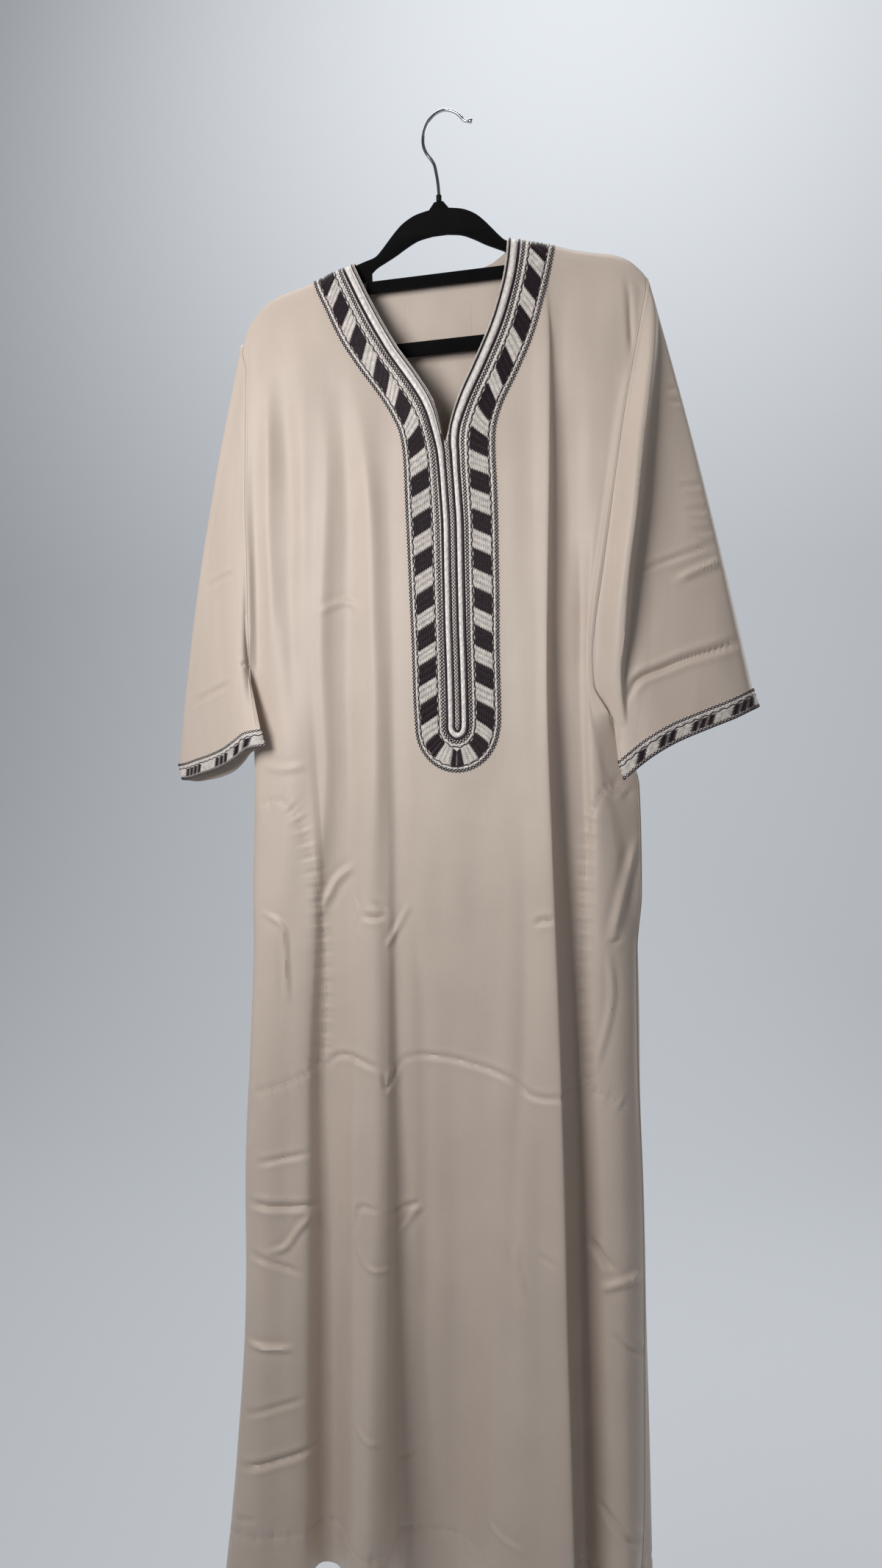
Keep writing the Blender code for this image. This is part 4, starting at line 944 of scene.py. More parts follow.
def settle(piece, wall, shape=None, operation="DIFFERENCE", offset=-1, faces=None):
    """Thins out a sheet's faces, gives it its wall, cuts it to shape, and keeps the result as its mesh."""
    if faces:
        piece.modifiers.new("thin out", "DECIMATE").ratio = min(1, faces / (2 * len(piece.data.polygons)))
    solid = piece.modifiers.new("wall", "SOLIDIFY")
    solid.thickness = wall * MM
    solid.offset = offset
    if shape:
        cut = piece.modifiers.new("cut", "BOOLEAN")
        cut.object = shape
        cut.operation = operation
        cut.solver = "EXACT"
    done = finished_mesh(piece)
    piece.modifiers.clear()
    old, piece.data = piece.data, done
    bpy.data.meshes.remove(old)
    done.set_sharp_from_angle(angle=math.radians(55))
    if shape:
        bpy.data.objects.remove(shape)


class Threads:
    """Many short cords, stitches and beads, gathered into one mesh. Points are in mm."""

    def __init__(self, sides=6):
        self.points, self.faces, self.sides = [], [], sides

    def strand(self, route, normals, wide, high, ends=0.45, closed=False):
        """A strand of elliptic section along a route, thinner at its ends."""
        route, normals = np.asarray(route, float), np.asarray(normals, float)
        count = len(route)
        if count < 2:
            return
        if closed:
            way = np.roll(route, -1, axis=0) - np.roll(route, 1, axis=0)
        else:
            way = np.gradient(route, axis=0)
        aside = np.cross(way, normals)
        aside /= np.linalg.norm(aside, axis=1, keepdims=True) + 1e-9
        turns = np.arange(self.sides) * math.tau / self.sides
        scale = np.ones(count)
        if not closed:
            scale[[0, -1]] = ends
        section = (aside[:, None] * (wide * np.cos(turns))[:, None]
                   + normals[:, None] * (high * np.sin(turns))[:, None])
        rings = route[:, None] + scale[:, None, None] * section
        first = len(self.points)
        self.points += rings.reshape(-1, 3).tolist()
        n = self.sides
        for i in range(count if closed else count - 1):
            a, b = first + i * n, first + ((i + 1) % count) * n
            for k in range(n):
                m = (k + 1) % n
                self.faces.append((a + k, b + k, b + m, a + m))
        if not closed:
            self.faces.append(tuple(range(first, first + n)))
            self.faces.append(tuple(range(first + count * n - 1, first + count * n - n - 1, -1)))

    def mesh(self, name):
        """All strands as one mesh, in metres."""
        mesh = bpy.data.meshes.new(name)
        mesh.from_pydata((np.array(self.points) * MM).tolist(), [], self.faces)
        mesh.polygons.foreach_set("use_smooth", [True] * len(self.faces))
        with mended(mesh) as bm:
            bmesh.ops.recalc_face_normals(bm, faces=bm.faces)
        mesh.set_sharp_from_angle(angle=math.radians(70))
        return mesh


@cache
def cloth_tree(face):
    """The front or back panel's outer face, ready for rays."""
    grid = panel_grid(face)
    lines, rows = grid.shape[:2]
    quads = [(i * rows + j, (i + 1) * rows + j, (i + 1) * rows + j + 1, i * rows + j + 1)
             for i in range(lines - 1) for j in range(rows - 1)]
    return BVHTree.FromPolygons(grid.reshape(-1, 3).tolist(), quads)


def laid(route, lift, face=-1):
    """Points of a route in x and height, laid on the front or back panel, and the cloth's normals there."""
    points, normals = [], []
    for x, z in route:
        hit, normal, _, _ = cloth_tree(face).ray_cast(Vector((x, face * 300, z)), Vector((0, -face, 0)))
        if hit is None:
            continue
        normal = np.array(normal) * (1 if normal.y * face > 0 else -1)
        points.append(np.array(hit) + normal * lift)
        normals.append(normal)
    return points, normals


# ---------------------------------------------------------------- finishes


def feed(tree, node, inputs):
    """Gives sockets of a node a value, or a link from the socket that feeds them."""
    for name, value in inputs.items():
        if isinstance(value, bpy.types.NodeSocket):
            tree.links.new(value, node.inputs[name])
        else:
            node.inputs[name].default_value = value


def add_node(tree, kind, inputs=None, **settings):
    """A shader node with its settings and what goes into its sockets."""
    node = tree.nodes.new("ShaderNode" + kind)
    for name, value in settings.items():
        setattr(node, name, value)
    feed(tree, node, inputs or {})
    return node


def new_material(name, sockets):
    """Material with one Principled shader, its constants set on the shader's own sockets."""
    material = bpy.data.materials.new(name)
    material.use_nodes = True
    shader = material.node_tree.nodes["Principled BSDF"]
    feed(material.node_tree, shader, sockets)
    return material, material.node_tree, shader


def colour(name, times=1.0):
    """One of the robe's set colours with its alpha, made deeper or lighter."""
    return (*(min(1.0, part * times) for part in getattr(bpy.context.scene.robe_colours, name)), 1.0)


def every(mm):
    """Texture scale, in repeats a metre, of a pattern whose features are this many mm apart."""
    return 1 / (mm * MM)


@cache
def sateen():
    """Polyester sateen, woven and calendered: smooth, with a low sheen and faint slubs along its threads."""
    material, tree, shader = new_material("sateen_weave", {
        "Roughness": 0.5, "IOR": 1.45, "Sheen Weight": 0.25, "Sheen Roughness": 0.4})
    place = add_node(tree, "UVMap", uv_map="cloth").outputs["UV"]
    # Threads are 0.3 mm thick, too fine to show, so slubs and warp are drawn 0.9 and 1.1 mm across
    weft_map = add_node(tree, "Mapping", {"Vector": place, "Scale": (every(40), every(0.909), 1)})
    weft = add_node(tree, "TexNoise", {"Vector": weft_map.outputs["Vector"], "Scale": 1.0, "Detail": 2.0})
    warp_map = add_node(tree, "Mapping", {"Vector": place, "Scale": (every(1.111), every(83.3), 1)})
    warp = add_node(tree, "TexNoise", {"Vector": warp_map.outputs["Vector"], "Scale": 1.0, "Detail": 2.0})
    threads = add_node(tree, "Math", {0: weft.outputs["Fac"], 1: warp.outputs["Fac"]}, operation="ADD")
    # Dyeing and pressing leave slow changes of tone some 80 mm wide
    cloud = add_node(tree, "TexNoise", {"Vector": place, "Scale": every(83.3), "Detail": 3.0})
    tone = add_node(tree, "Math", {0: threads.outputs[0], 1: 0.35, 2: cloud.outputs["Fac"]},
                    operation="MULTIPLY_ADD")
    ramp = add_node(tree, "MapRange", {"Value": tone.outputs[0], "From Min": 0.55, "From Max": 1.15})
    mix = add_node(tree, "Mix",
                   {"Factor": ramp.outputs["Result"], 6: colour("cloth", 0.9), 7: colour("cloth")},
                   data_type="RGBA")
    bump = add_node(tree, "Bump", {"Height": threads.outputs[0], "Strength": 0.35, "Distance": 0.2 * MM})
    feed(tree, shader, {"Base Color": mix.outputs[2], "Normal": bump.outputs["Normal"]})
    return material


@cache
def rayon(name):
    """Rayon embroidery floss, twisted and glossy: tiny twist marks, and a tone that changes by the strand."""
    glossy = {"pearl_thread": 0.28, "light_thread": 0.45, "dark_thread": 0.42}[name]
    material, tree, shader = new_material("rayon_" + name, {
        "Roughness": glossy, "IOR": 1.5, "Sheen Weight": 0.08,
        "Specular IOR Level": 0.25 if name == "dark_thread" else 0.5})
    place = add_node(tree, "TexCoord").outputs["Object"]
    # Floss twists every 0.8 mm or so, and its tone changes every 5 mm
    twist = add_node(tree, "TexNoise", {"Vector": place, "Scale": every(0.77), "Detail": 1.0})
    strand = add_node(tree, "TexNoise", {"Vector": place, "Scale": every(4.76), "Detail": 2.0})
    tone = add_node(tree, "Math", {0: twist.outputs["Fac"], 1: strand.outputs["Fac"]}, operation="ADD")
    ramp = add_node(tree, "MapRange", {"Value": tone.outputs[0], "From Min": 0.7, "From Max": 1.3})
    mix = add_node(tree, "Mix",
                   {"Factor": ramp.outputs["Result"], 6: colour(name, 0.72), 7: colour(name, 1.15)},
                   data_type="RGBA")
    bump = add_node(tree, "Bump", {"Height": twist.outputs["Fac"], "Strength": 0.4, "Distance": 0.2 * MM})
    feed(tree, shader, {"Base Color": mix.outputs[2], "Normal": bump.outputs["Normal"]})
    return material


@cache
def sewing_thread():
    """Spun polyester thread, a shade lighter than the cloth: matt, with a slight sheen and visible plies."""
    material, tree, shader = new_material("spun_polyester_thread", {
        "Roughness": 0.7, "IOR": 1.5, "Sheen Weight": 0.2})
    place = add_node(tree, "TexCoord").outputs["Object"]
    # A ply turns every 0.7 mm
    ply = add_node(tree, "TexNoise", {"Vector": place, "Scale": every(0.714), "Detail": 1.0})
    mix = add_node(tree, "Mix",
                   {"Factor": ply.outputs["Fac"], 6: colour("sewing_thread", 0.8),
                    7: colour("sewing_thread", 1.1)}, data_type="RGBA")
    feed(tree, shader, {"Base Color": mix.outputs[2]})
    return material


@cache
def flocked_velvet():
    """Nylon flock on moulded plastic: short black pile, matt, with tufts that brushing turns."""
    material, tree, shader = new_material("flocked_velvet", {
        "Roughness": 1.0, "IOR": 1.45, "Sheen Weight": 0.02, "Sheen Roughness": 0.6,
        "Specular IOR Level": 0.2})
    place = add_node(tree, "TexCoord").outputs["Object"]
    # Pile lies in tufts about 1 mm across, and is brushed in patches of 25 mm
    pile = add_node(tree, "TexNoise", {"Vector": place, "Scale": every(1.111), "Detail": 3.0})
    brushed = add_node(tree, "TexNoise", {"Vector": place, "Scale": every(25), "Detail": 3.0})
    tone = add_node(tree, "Math", {0: pile.outputs["Fac"], 1: brushed.outputs["Fac"]}, operation="ADD")
    ramp = add_node(tree, "MapRange", {"Value": tone.outputs[0], "From Min": 0.7, "From Max": 1.3})
    mix = add_node(tree, "Mix",
                   {"Factor": ramp.outputs["Result"], 6: colour("velvet", 0.6), 7: colour("velvet", 1.7)},
                   data_type="RGBA")
    bump = add_node(tree, "Bump", {"Height": pile.outputs["Fac"], "Strength": 0.6, "Distance": 0.5 * MM})
    feed(tree, shader, {"Base Color": mix.outputs[2], "Normal": bump.outputs["Normal"]})
    return material


@cache
def chromed_steel():
    """Drawn steel wire, chrome plated: mirror-like, with hair-fine drawing marks that vary its gloss."""
    material, tree, shader = new_material("chromed_steel", {"Metallic": 1.0, "Base Color": colour("chrome")})
    place = add_node(tree, "TexCoord").outputs["Object"]
    # Drawing marks are far finer than 1 mm; 1.7 mm is as fine as shows
    marks = add_node(tree, "TexNoise", {"Vector": place, "Scale": every(1.667), "Detail": 2.0})
    gloss = add_node(tree, "MapRange", {"Value": marks.outputs["Fac"], "To Min": 0.08, "To Max": 0.24})
    feed(tree, shader, {"Roughness": gloss.outputs["Result"]})
    return material


@cache
def moulded_plastic():
    """Black polypropylene, injection moulded: satin, with a fine orange peel."""
    material, tree, shader = new_material("moulded_black_plastic", {
        "Roughness": 0.38, "IOR": 1.49, "Base Color": colour("plastic")})
    place = add_node(tree, "TexCoord").outputs["Object"]
    # The peel's bumps are 0.7 mm apart
    peel = add_node(tree, "TexNoise", {"Vector": place, "Scale": every(0.667), "Detail": 2.0})
    bump = add_node(tree, "Bump", {"Height": peel.outputs["Fac"], "Strength": 0.2, "Distance": 0.1 * MM})
    feed(tree, shader, {"Normal": bump.outputs["Normal"]})
    return material


@cache
def painted_floor():
    """Matt emulsion, rolled on: even and pale, with no gloss."""
    return new_material("painted_floor", {"Roughness": 0.9, "Base Color": colour("floor")})[0]


# ---------------------------------------------------------------- settings


def length_property(name, description, mm):
    """A length that is kept in metres, from its default in mm."""
    return FloatProperty(name=name, description=description, default=mm * MM, min=0, precision=4,
                         subtype="DISTANCE", unit="LENGTH")


def factor_property(name, description, factor):
    """A factor without a unit."""
    return FloatProperty(name=name, description=description, default=factor, min=0, soft_max=3,
                         subtype="FACTOR")


def colour_property(name, code):
    """A linear colour, from its default's sRGB hex value."""
    return FloatVectorProperty(name=name, description=name + ", linear", subtype="COLOR", size=3, min=0,
                               max=1, default=hex_colour(code))


class RobeSizes(bpy.types.PropertyGroup):
    cloth_wall: length_property("Cloth wall", "Thickness of the cloth", 0.8)
    crease_depth: factor_property("Creases", "Depth of the creases, times their own", 1.8)
    wave_depth: factor_property("Waves", "Depth of the long waves, times their own", 1.0)
    pucker_depth: length_property("Puckers", "Depth of the gathers along stitches", 0.95)
    ripple_depth: length_property("Ripple", "Unevenness of the hanging cloth", 1.5)
    braid_pitch: length_property("Braid pitch", "Length of one diamond of a braid", 3.8)
    thread_pitch: length_property("Thread pitch", "Between the threads of a block", 1.2)
    stitch_length: length_property("Stitch length", "Of the sewing stitches", 2.6)


class RobeColours(bpy.types.PropertyGroup):
    cloth: colour_property("Cloth", "d3c2b4")
    dark_thread: colour_property("Dark thread", "28161f")
    light_thread: colour_property("Light thread", "ece3dc")
    pearl_thread: colour_property("Pearl thread", "f8f4ef")
    sewing_thread: colour_property("Sewing thread", "e6dad0")
    velvet: colour_property("Velvet", "060607")
    plastic: colour_property("Plastic", "0e0e10")
    chrome: colour_property("Chrome", "c9cbd0")
    floor: colour_property("Floor", "d9dde2")
    daylight: colour_property("Daylight", "dfe4ea")


# ---------------------------------------------------------------- pieces


class ROBE_OT_front(bpy.types.Operator):
    """Front panel, with its folds, creases and neck opening"""
    bl_idname = "robe.front"
    bl_label = "Front Panel"

    def execute(self, context):
        mesh = sheet_mesh("front_cloth", panel_grid(-1), flip=True)
        piece = new_piece("front_cloth", mesh, sateen(), ("front_panel",))
        neck = cutter("neck", NECK_EDGE_RIGHT + NECK_EDGE_LEFT, -90, 4)
        settle(piece, in_mm("cloth_wall"), neck, faces=PANEL_FACES["front"])
        return {"FINISHED"}


class ROBE_OT_back(bpy.types.Operator):
    """Back panel, with its folds and back neckline"""
    bl_idname = "robe.back"
    bl_label = "Back Panel"

    def execute(self, context):
        mesh = sheet_mesh("back_cloth", panel_grid(1), flip=False)
        piece = new_piece("back_cloth", mesh, sateen(), ("back_panel",))
        neck = cutter("back_neck", BACK_NECK_EDGE, -4, 90)
        settle(piece, in_mm("cloth_wall"), neck, faces=PANEL_FACES["back"])
        return {"FINISHED"}


class ROBE_OT_sleeves(bpy.types.Operator):
    """Both sleeves, with the forward roll of the left one"""
    bl_idname = "robe.sleeves"
    bl_label = "Sleeves"

    def execute(self, context):
        for side in ("right", "left"):
            name = "sleeve_cloth_" + side
            mesh = sheet_mesh(name, sleeve_grid(side), flip=side == "right", closed=True)
            piece = new_piece(name, mesh, sateen(), ("sleeve_" + side,))
            settle(piece, in_mm("cloth_wall"), faces=SLEEVE_FACES)
        return {"FINISHED"}


# ---------------------------------------------------------------- embroidery


def softened(values, window):
    """Moving average down a column of rows, the ends carried on."""
    pad = np.concatenate([values[:1]] * (window // 2) + [values] + [values[-1:]] * (window // 2))
    kernel = np.ones(window) / window
    return np.column_stack([np.convolve(column, kernel, "valid") for column in pad.T])


@cache
def keyhole():
    """Embroidery's outer edge: distance along it from its foot, points, the way inward, and the width."""
    kept = [point for point in BAND_EDGE_LEFT if point[1] > EMBROIDERY_LEFT[-1][1] + 8]
    foot = band_outline()[len(BAND_EDGE_RIGHT):-len(BAND_EDGE_LEFT)]
    foot = [(x + FOOT_EASE * (x > BAND_FOOT[0]), z) for x, z in foot]
    edge = even(rounded(list(BAND_EDGE_RIGHT) + foot + list(EMBROIDERY_LEFT) + kept, 5), 1.5)
    along = lengths(edge)
    along -= along[int(np.argmin(edge[:, 1]))]
    inward = softened(np.column_stack([-np.gradient(edge[:, 1]), np.gradient(edge[:, 0])]), 13)
    inward /= np.linalg.norm(inward, axis=1, keepdims=True)
    right = [(x - CENTRE_HALF, z) for x, z in CENTRE_LINE]
    left = [(x + CENTRE_HALF, z) for x, z in CENTRE_LINE[::-1]]
    tip = (CENTRE_LINE[-1][0], CENTRE_LINE[-1][1] - CENTRE_HALF)
    border = even(list(NECK_EDGE_RIGHT) + right + [tip] + left + list(NECK_EDGE_LEFT), 0.5)
    # Width of the band is where the inner border crosses the inward line, 25 to 80 mm in
    way = border[None] - edge[:, None]
    across = (way * inward[:, None]).sum(axis=2)
    aside = abs(way[..., 0] * inward[:, None, 1] - way[..., 1] * inward[:, None, 0])
    across = np.where((across > 25) & (aside < 0.8), across, 999).min(axis=1)
    found = across < 80
    width = softened(np.interp(along, along[found], across[found])[:, None], 15)[:, 0]
    return along, edge, inward, width


def band_point(at, depth):
    """x and height of places on the band: distance along its outer edge, and in from it."""
    along, edge, inward, _ = keyhole()
    at, depth = np.broadcast_arrays(np.asarray(at, float), np.asarray(depth, float))
    x, z, in_x, in_z = (np.interp(at, along, values) for values in (*edge.T, *inward.T))
    return np.column_stack([x + in_x * depth, z + in_z * depth])


def on_collar(at):
    """0 on the placket, 1 on the collar."""
    return blend(COLLAR_START, COLLAR_FULL, abs(np.asarray(at, float)))


def layer_depth(name, at):
    """How far in from the outer edge a layer of the embroidery lies."""
    placket, collar, border = BAND_LAYERS[name]
    along, _, _, width = keyhole()
    place = placket + (collar - placket) * on_collar(at)
    reach = np.interp(at, along, width)
    return reach - place if border == "inner" else place * reach / PLACKET_WIDTH


def layer_line(name, step, shift=lambda places: 0):
    """A layer's line round the band, in even steps; shift moves it inward, given the places along it."""
    along = keyhole()[0]
    at = np.arange(along[0], along[-1], 0.7)
    length = lengths(band_point(at, layer_depth(name, at)))
    places = np.arange(0, length[-1], step)
    at = np.interp(places, length, at)
    return band_point(at, layer_depth(name, at) + shift(places))


@cache
def block_scale(sign):
    """Distance from the foot along the middle of the blocks, and the distance along the outer edge there."""
    at = sign * np.arange(0, keyhole()[0][-1], 0.7)
    middle = (layer_depth("blocks from", at) + layer_depth("blocks to", at)) / 2
    return lengths(band_point(at, middle)), at


def block_point(sign, middle, share):
    """A place in the blocks: distance from the foot along their middle, and share of their width."""
    length, at = block_scale(sign)
    at = np.interp(middle, length, at)
    outer, inner = layer_depth("blocks from", at), layer_depth("blocks to", at)
    return band_point(at, outer + (inner - outer) * share)


@cache
def ridge_line():
    """x and heights of the shoulder, from armhole to armhole."""
    seats = range(ARMHOLE_SEAT["right"], ARMHOLE_SEAT["left"] + 1, 2)
    return np.array([shoulder_point(seat) for seat in seats]).T


def below_ridge(route):
    """How far each point of a route in x and height lies below the shoulder."""
    return np.interp(route[:, 0], *ridge_line()) - route[:, 1] - 0.2


def lay_strand(threads, route, lift, wide, high, ends=0.45):
    """Lays a strand on the front panel, without what would pass over the shoulder."""
    route = np.asarray(route, float)
    shown = below_ridge(route) > 0
    starts = np.nonzero(np.diff(np.concatenate([[0], shown, [0]])))[0].reshape(-1, 2)
    for start, end in starts:
        if end - start > 1:
            points, normals = laid(route[start:end], lift)
            threads.strand(points, normals, wide, high, ends)


def blobs(threads, line, period, length, lift, wide, high):
    """Short raised stitches, one to each period of a line that has even steps."""
    step = np.linalg.norm(line[1] - line[0])
    count = max(2, round(period / step))
    span = max(2, round(length / step))
    for first in range(0, len(line) - span, count):
        part = line[first:first + span + 1:max(1, span // 2)]
        lay_strand(threads, part, lift, wide, high, ends=BEAD_ENDS)


def block_edges(side, sign):
    """Where the blocks begin and end on one side of the band, and how far their ends slant there."""
    length, at = block_scale(sign)
    edges = [BLOCK_FOOT]
    for centre in BLOCK_CENTRES[side]:
        half = np.interp(on_collar(np.interp(centre, length, at)), (0, 1), BLOCK_LENGTH) / 2
        half *= FOOT_SHARE if centre < FOOT_REACH else 1
        edges += [centre - half, centre + half]
    edges.append(length[-1] + 20)
    slants = []
    for end in edges:
        collar = float(on_collar(np.interp(end, length, at)))
        slant = BLOCK_SLANT[0] + (BLOCK_SLANT[1] - BLOCK_SLANT[0]) * collar
        slants.append(np.interp(end, (SLANT_START, SLANT_FULL), (0, 1)) * slant)
    return edges, slants


def sew_blocks(dark, light, pitch):
    """Slanting blocks of satin threads, dark and light in turn, mirrored from side to side."""
    width = BAND_LAYERS["blocks to"][0] - BAND_LAYERS["blocks from"][0]
    count = round(width / pitch)
    shares = (np.arange(count) + 0.5) / count
    for sign, side in ((-1, "right"), (1, "left")):
        top = block_scale(sign)[0][-1]
        edges, slants = block_edges(side, sign)
        for k in range(len(edges) - 1):
            threads, room, lap = (dark, 0.0, -0.45) if k % 2 else (light, 0.25, 0.1)
            for i, share in enumerate(shares):
                off = (share - 0.5) * width
                first, last = (edges[k + j] + slants[k + j] * off for j in (0, 1))
                cuts = np.linspace(first + room, last - room, BLOCK_ROWS + 1)
                cuts += BLOCK_UNEVEN if i % 2 else -BLOCK_UNEVEN
                for a, b in zip(cuts, cuts[1:]):
                    if a < top:
                        line = block_point(sign, np.linspace(a + lap, min(b, top) - lap, 4), share)
                        lay_strand(threads, line, THREAD_LIFT, pitch / 2, THREAD_HIGH, THREAD_ENDS)
        for share in shares:
            places = np.array((0.1, 2, 4, BLOCK_FOOT - 0.3))
            kinked = share - 0.17 * (1 - places / BLOCK_FOOT)
            route = [block_point(sign, [place], where) for place, where in zip(places, kinked)]
            lay_strand(dark, np.concatenate(route), THREAD_LIFT, pitch * THREAD_HALF, THREAD_HIGH)


class ROBE_OT_neck_band(bpy.types.Operator):
    """Embroidered band round the neck and down the placket"""
    bl_idname = "robe.neck_band"
    bl_label = "Neck Band"

    def ground(self):
        """Close filling stitch under the embroidery, over the placket's middle as well."""
        along, _, _, width = keyhole()
        at = np.linspace(along[0], along[-1], round((along[-1] - along[0]) / GROUND_STEP))
        reach = np.interp(at, along, width)
        lines = []
        for share in np.linspace(0, 1, GROUND_LINES):
            route = band_point(at, 0.2 + (reach - 0.2) * share)
            below = below_ridge(route)
            shown = np.nonzero(below > 0)[0]
            for last, step in ((shown[0], -1), (shown[-1], 1)):
                if 0 <= last + step < len(route):
                    part = below[last] / (below[last] - below[last + step])
                    end = route[last] + (route[last + step] - route[last]) * part
                    rest = slice(None, last) if step < 0 else slice(last + 1, None)
                    route[rest] = end
            lines.append(laid(route, GROUND_LIFT)[0])
        return np.array(lines)

    def execute(self, context):
        mesh = sheet_mesh("neck_band_ground", self.ground(), flip=False)
        with mended(mesh) as bm:
            bmesh.ops.remove_doubles(bm, verts=bm.verts, dist=0.00002)
            bmesh.ops.dissolve_degenerate(bm, edges=bm.edges, dist=0.00001)
        ground = new_piece("neck_band_ground", mesh, rayon("light_thread"), ("neck_band",))
        settle(ground, GROUND_WALL, offset=1)

        dark, light, pearl = Threads(), Threads(), Threads()
        pitch = in_mm("braid_pitch")
        sew_blocks(dark, light, in_mm("thread_pitch"))
        self.borders(dark, light, pitch)
        self.inner_edge(dark, light, pearl)
        self.middle(dark, light, pitch)
        for tone, threads in (("dark", dark), ("light", light), ("pearl", pearl)):
            name = "neck_band_" + tone
            new_piece(name, threads.mesh(name), rayon(tone + "_thread"))
        return {"FINISHED"}

    def borders(self, dark, light, pitch):
        """Chains of diamonds, wavy lines and light bars along both sides of the blocks."""
        for name in ("outer braid", "inner braid"):
            for swing in (-BRAID_SWING[name], BRAID_SWING[name]):
                line = layer_line(name, pitch / 2, lambda s: swing * np.sin(math.pi * s / pitch))
                lay_strand(dark, line, *STRANDS["braid"])
        for name, phase in (("outer wave", 0.0), ("inner wave", 1.5)):
            line = layer_line(name, WAVE_STEP,
                              lambda s: WAVE_SWING * np.sin(s * math.tau / WAVE_PERIOD + phase))
            lay_strand(dark, line, *STRANDS["wave"])
        for name, shift in (("outer strip", 0.35), ("inner strip", -0.35)):
            line = layer_line(name, 1.2, lambda s: shift)
            blobs(light, line, BAR_PERIOD, BAR_LENGTH, *STRANDS["bar"])

    def inner_edge(self, dark, light, pearl):
        """Two dark lines along the neck and slit, dots on the outer one, and pearls between them."""
        for name in ("dark line", "edge line"):
            lay_strand(dark, layer_line(name, CORD_STEP), *STRANDS[name])
        collar = layer_line("edge line", DOT_PERIOD / 2, lambda s: 0.55)
        for arm in np.split(collar, [len(collar) // 2]):
            above = arm[arm[:, 1] > NECK_EDGE_RIGHT[-1][1] + 6]
            blobs(light, above, DOT_PERIOD, DOT_LENGTH, *STRANDS["dot"])
        lay_strand(light, layer_line("pearls", CORD_STEP), *STRANDS["pearl cord"])
        blobs(pearl, layer_line("pearls", PEARL_PERIOD / 10), PEARL_PERIOD, PEARL_LENGTH, *STRANDS["pearl"])

    def middle(self, dark, light, pitch):
        """Braid down the middle of the placket, below the slit."""
        line = even(rounded(CENTRE_LINE, 6), pitch / 2)
        lay_strand(light, line, *STRANDS["middle"])
        turn = np.sin(math.pi / 2 * np.arange(len(line)))
        for swing in (-BRAID_SWING["middle"], BRAID_SWING["middle"]):
            lay_strand(dark, line + np.outer(turn, (swing, 0)), *STRANDS["middle braid"])


class CuffBand:
    """Foot of a sleeve as a ribbon: distance along it from the outer fold, and down from its top."""

    def __init__(self, side):
        grid = sleeve_grid(side)
        half = len(armhole_loop(side)[0])
        top, bottom = grid[:, -1 - CUFF_ROWS], grid[:, -1]
        self.front = lengths(bottom[:half])[-1]
        normal = np.cross(np.roll(bottom, -1, axis=0) - np.roll(bottom, 1, axis=0), bottom - top)
        normal /= np.linalg.norm(normal, axis=1, keepdims=True)
        normal *= -np.sign(normal[half // 2, 1])
        self.top, self.bottom, self.normal = (np.concatenate([rows, rows[:1]])
                                              for rows in (top, bottom, normal))
        self.along = lengths(self.bottom)

    def laid(self, at, depth, lift):
        """Points and normals at these distances along the cuff and down from its top."""
        at, depth = np.broadcast_arrays(np.asarray(at, float) % self.along[-1], np.asarray(depth, float))
        top, bottom, normal = (np.column_stack([np.interp(at, self.along, column) for column in rows.T])
                               for rows in (self.top, self.bottom, self.normal))
        normal /= np.linalg.norm(normal, axis=1, keepdims=True)
        return top + (bottom - top) * (depth / CUFF_HEIGHT)[:, None] + normal * lift, normal

    def lay(self, threads, at, depth, name, **finish):
        """Lays one of the strands along the cuff, with its ends closed up or thinned out."""
        lift, wide, high = STRANDS[name]
        threads.strand(*self.laid(at, depth, lift), wide, high, **finish)

    def dark_ranges(self, side):
        """Dark blocks all round, from the outer fold: the front's own, then even ones on the back."""
        count = int((self.along[-1] - self.front) / CUFF_BACK_PERIOD)
        starts = self.front + CUFF_BACK_PERIOD * (np.arange(count) + 0.25)
        return list(CUFF_BLOCKS[side]) + [(start, start + CUFF_BACK_PERIOD / 2) for start in starts]


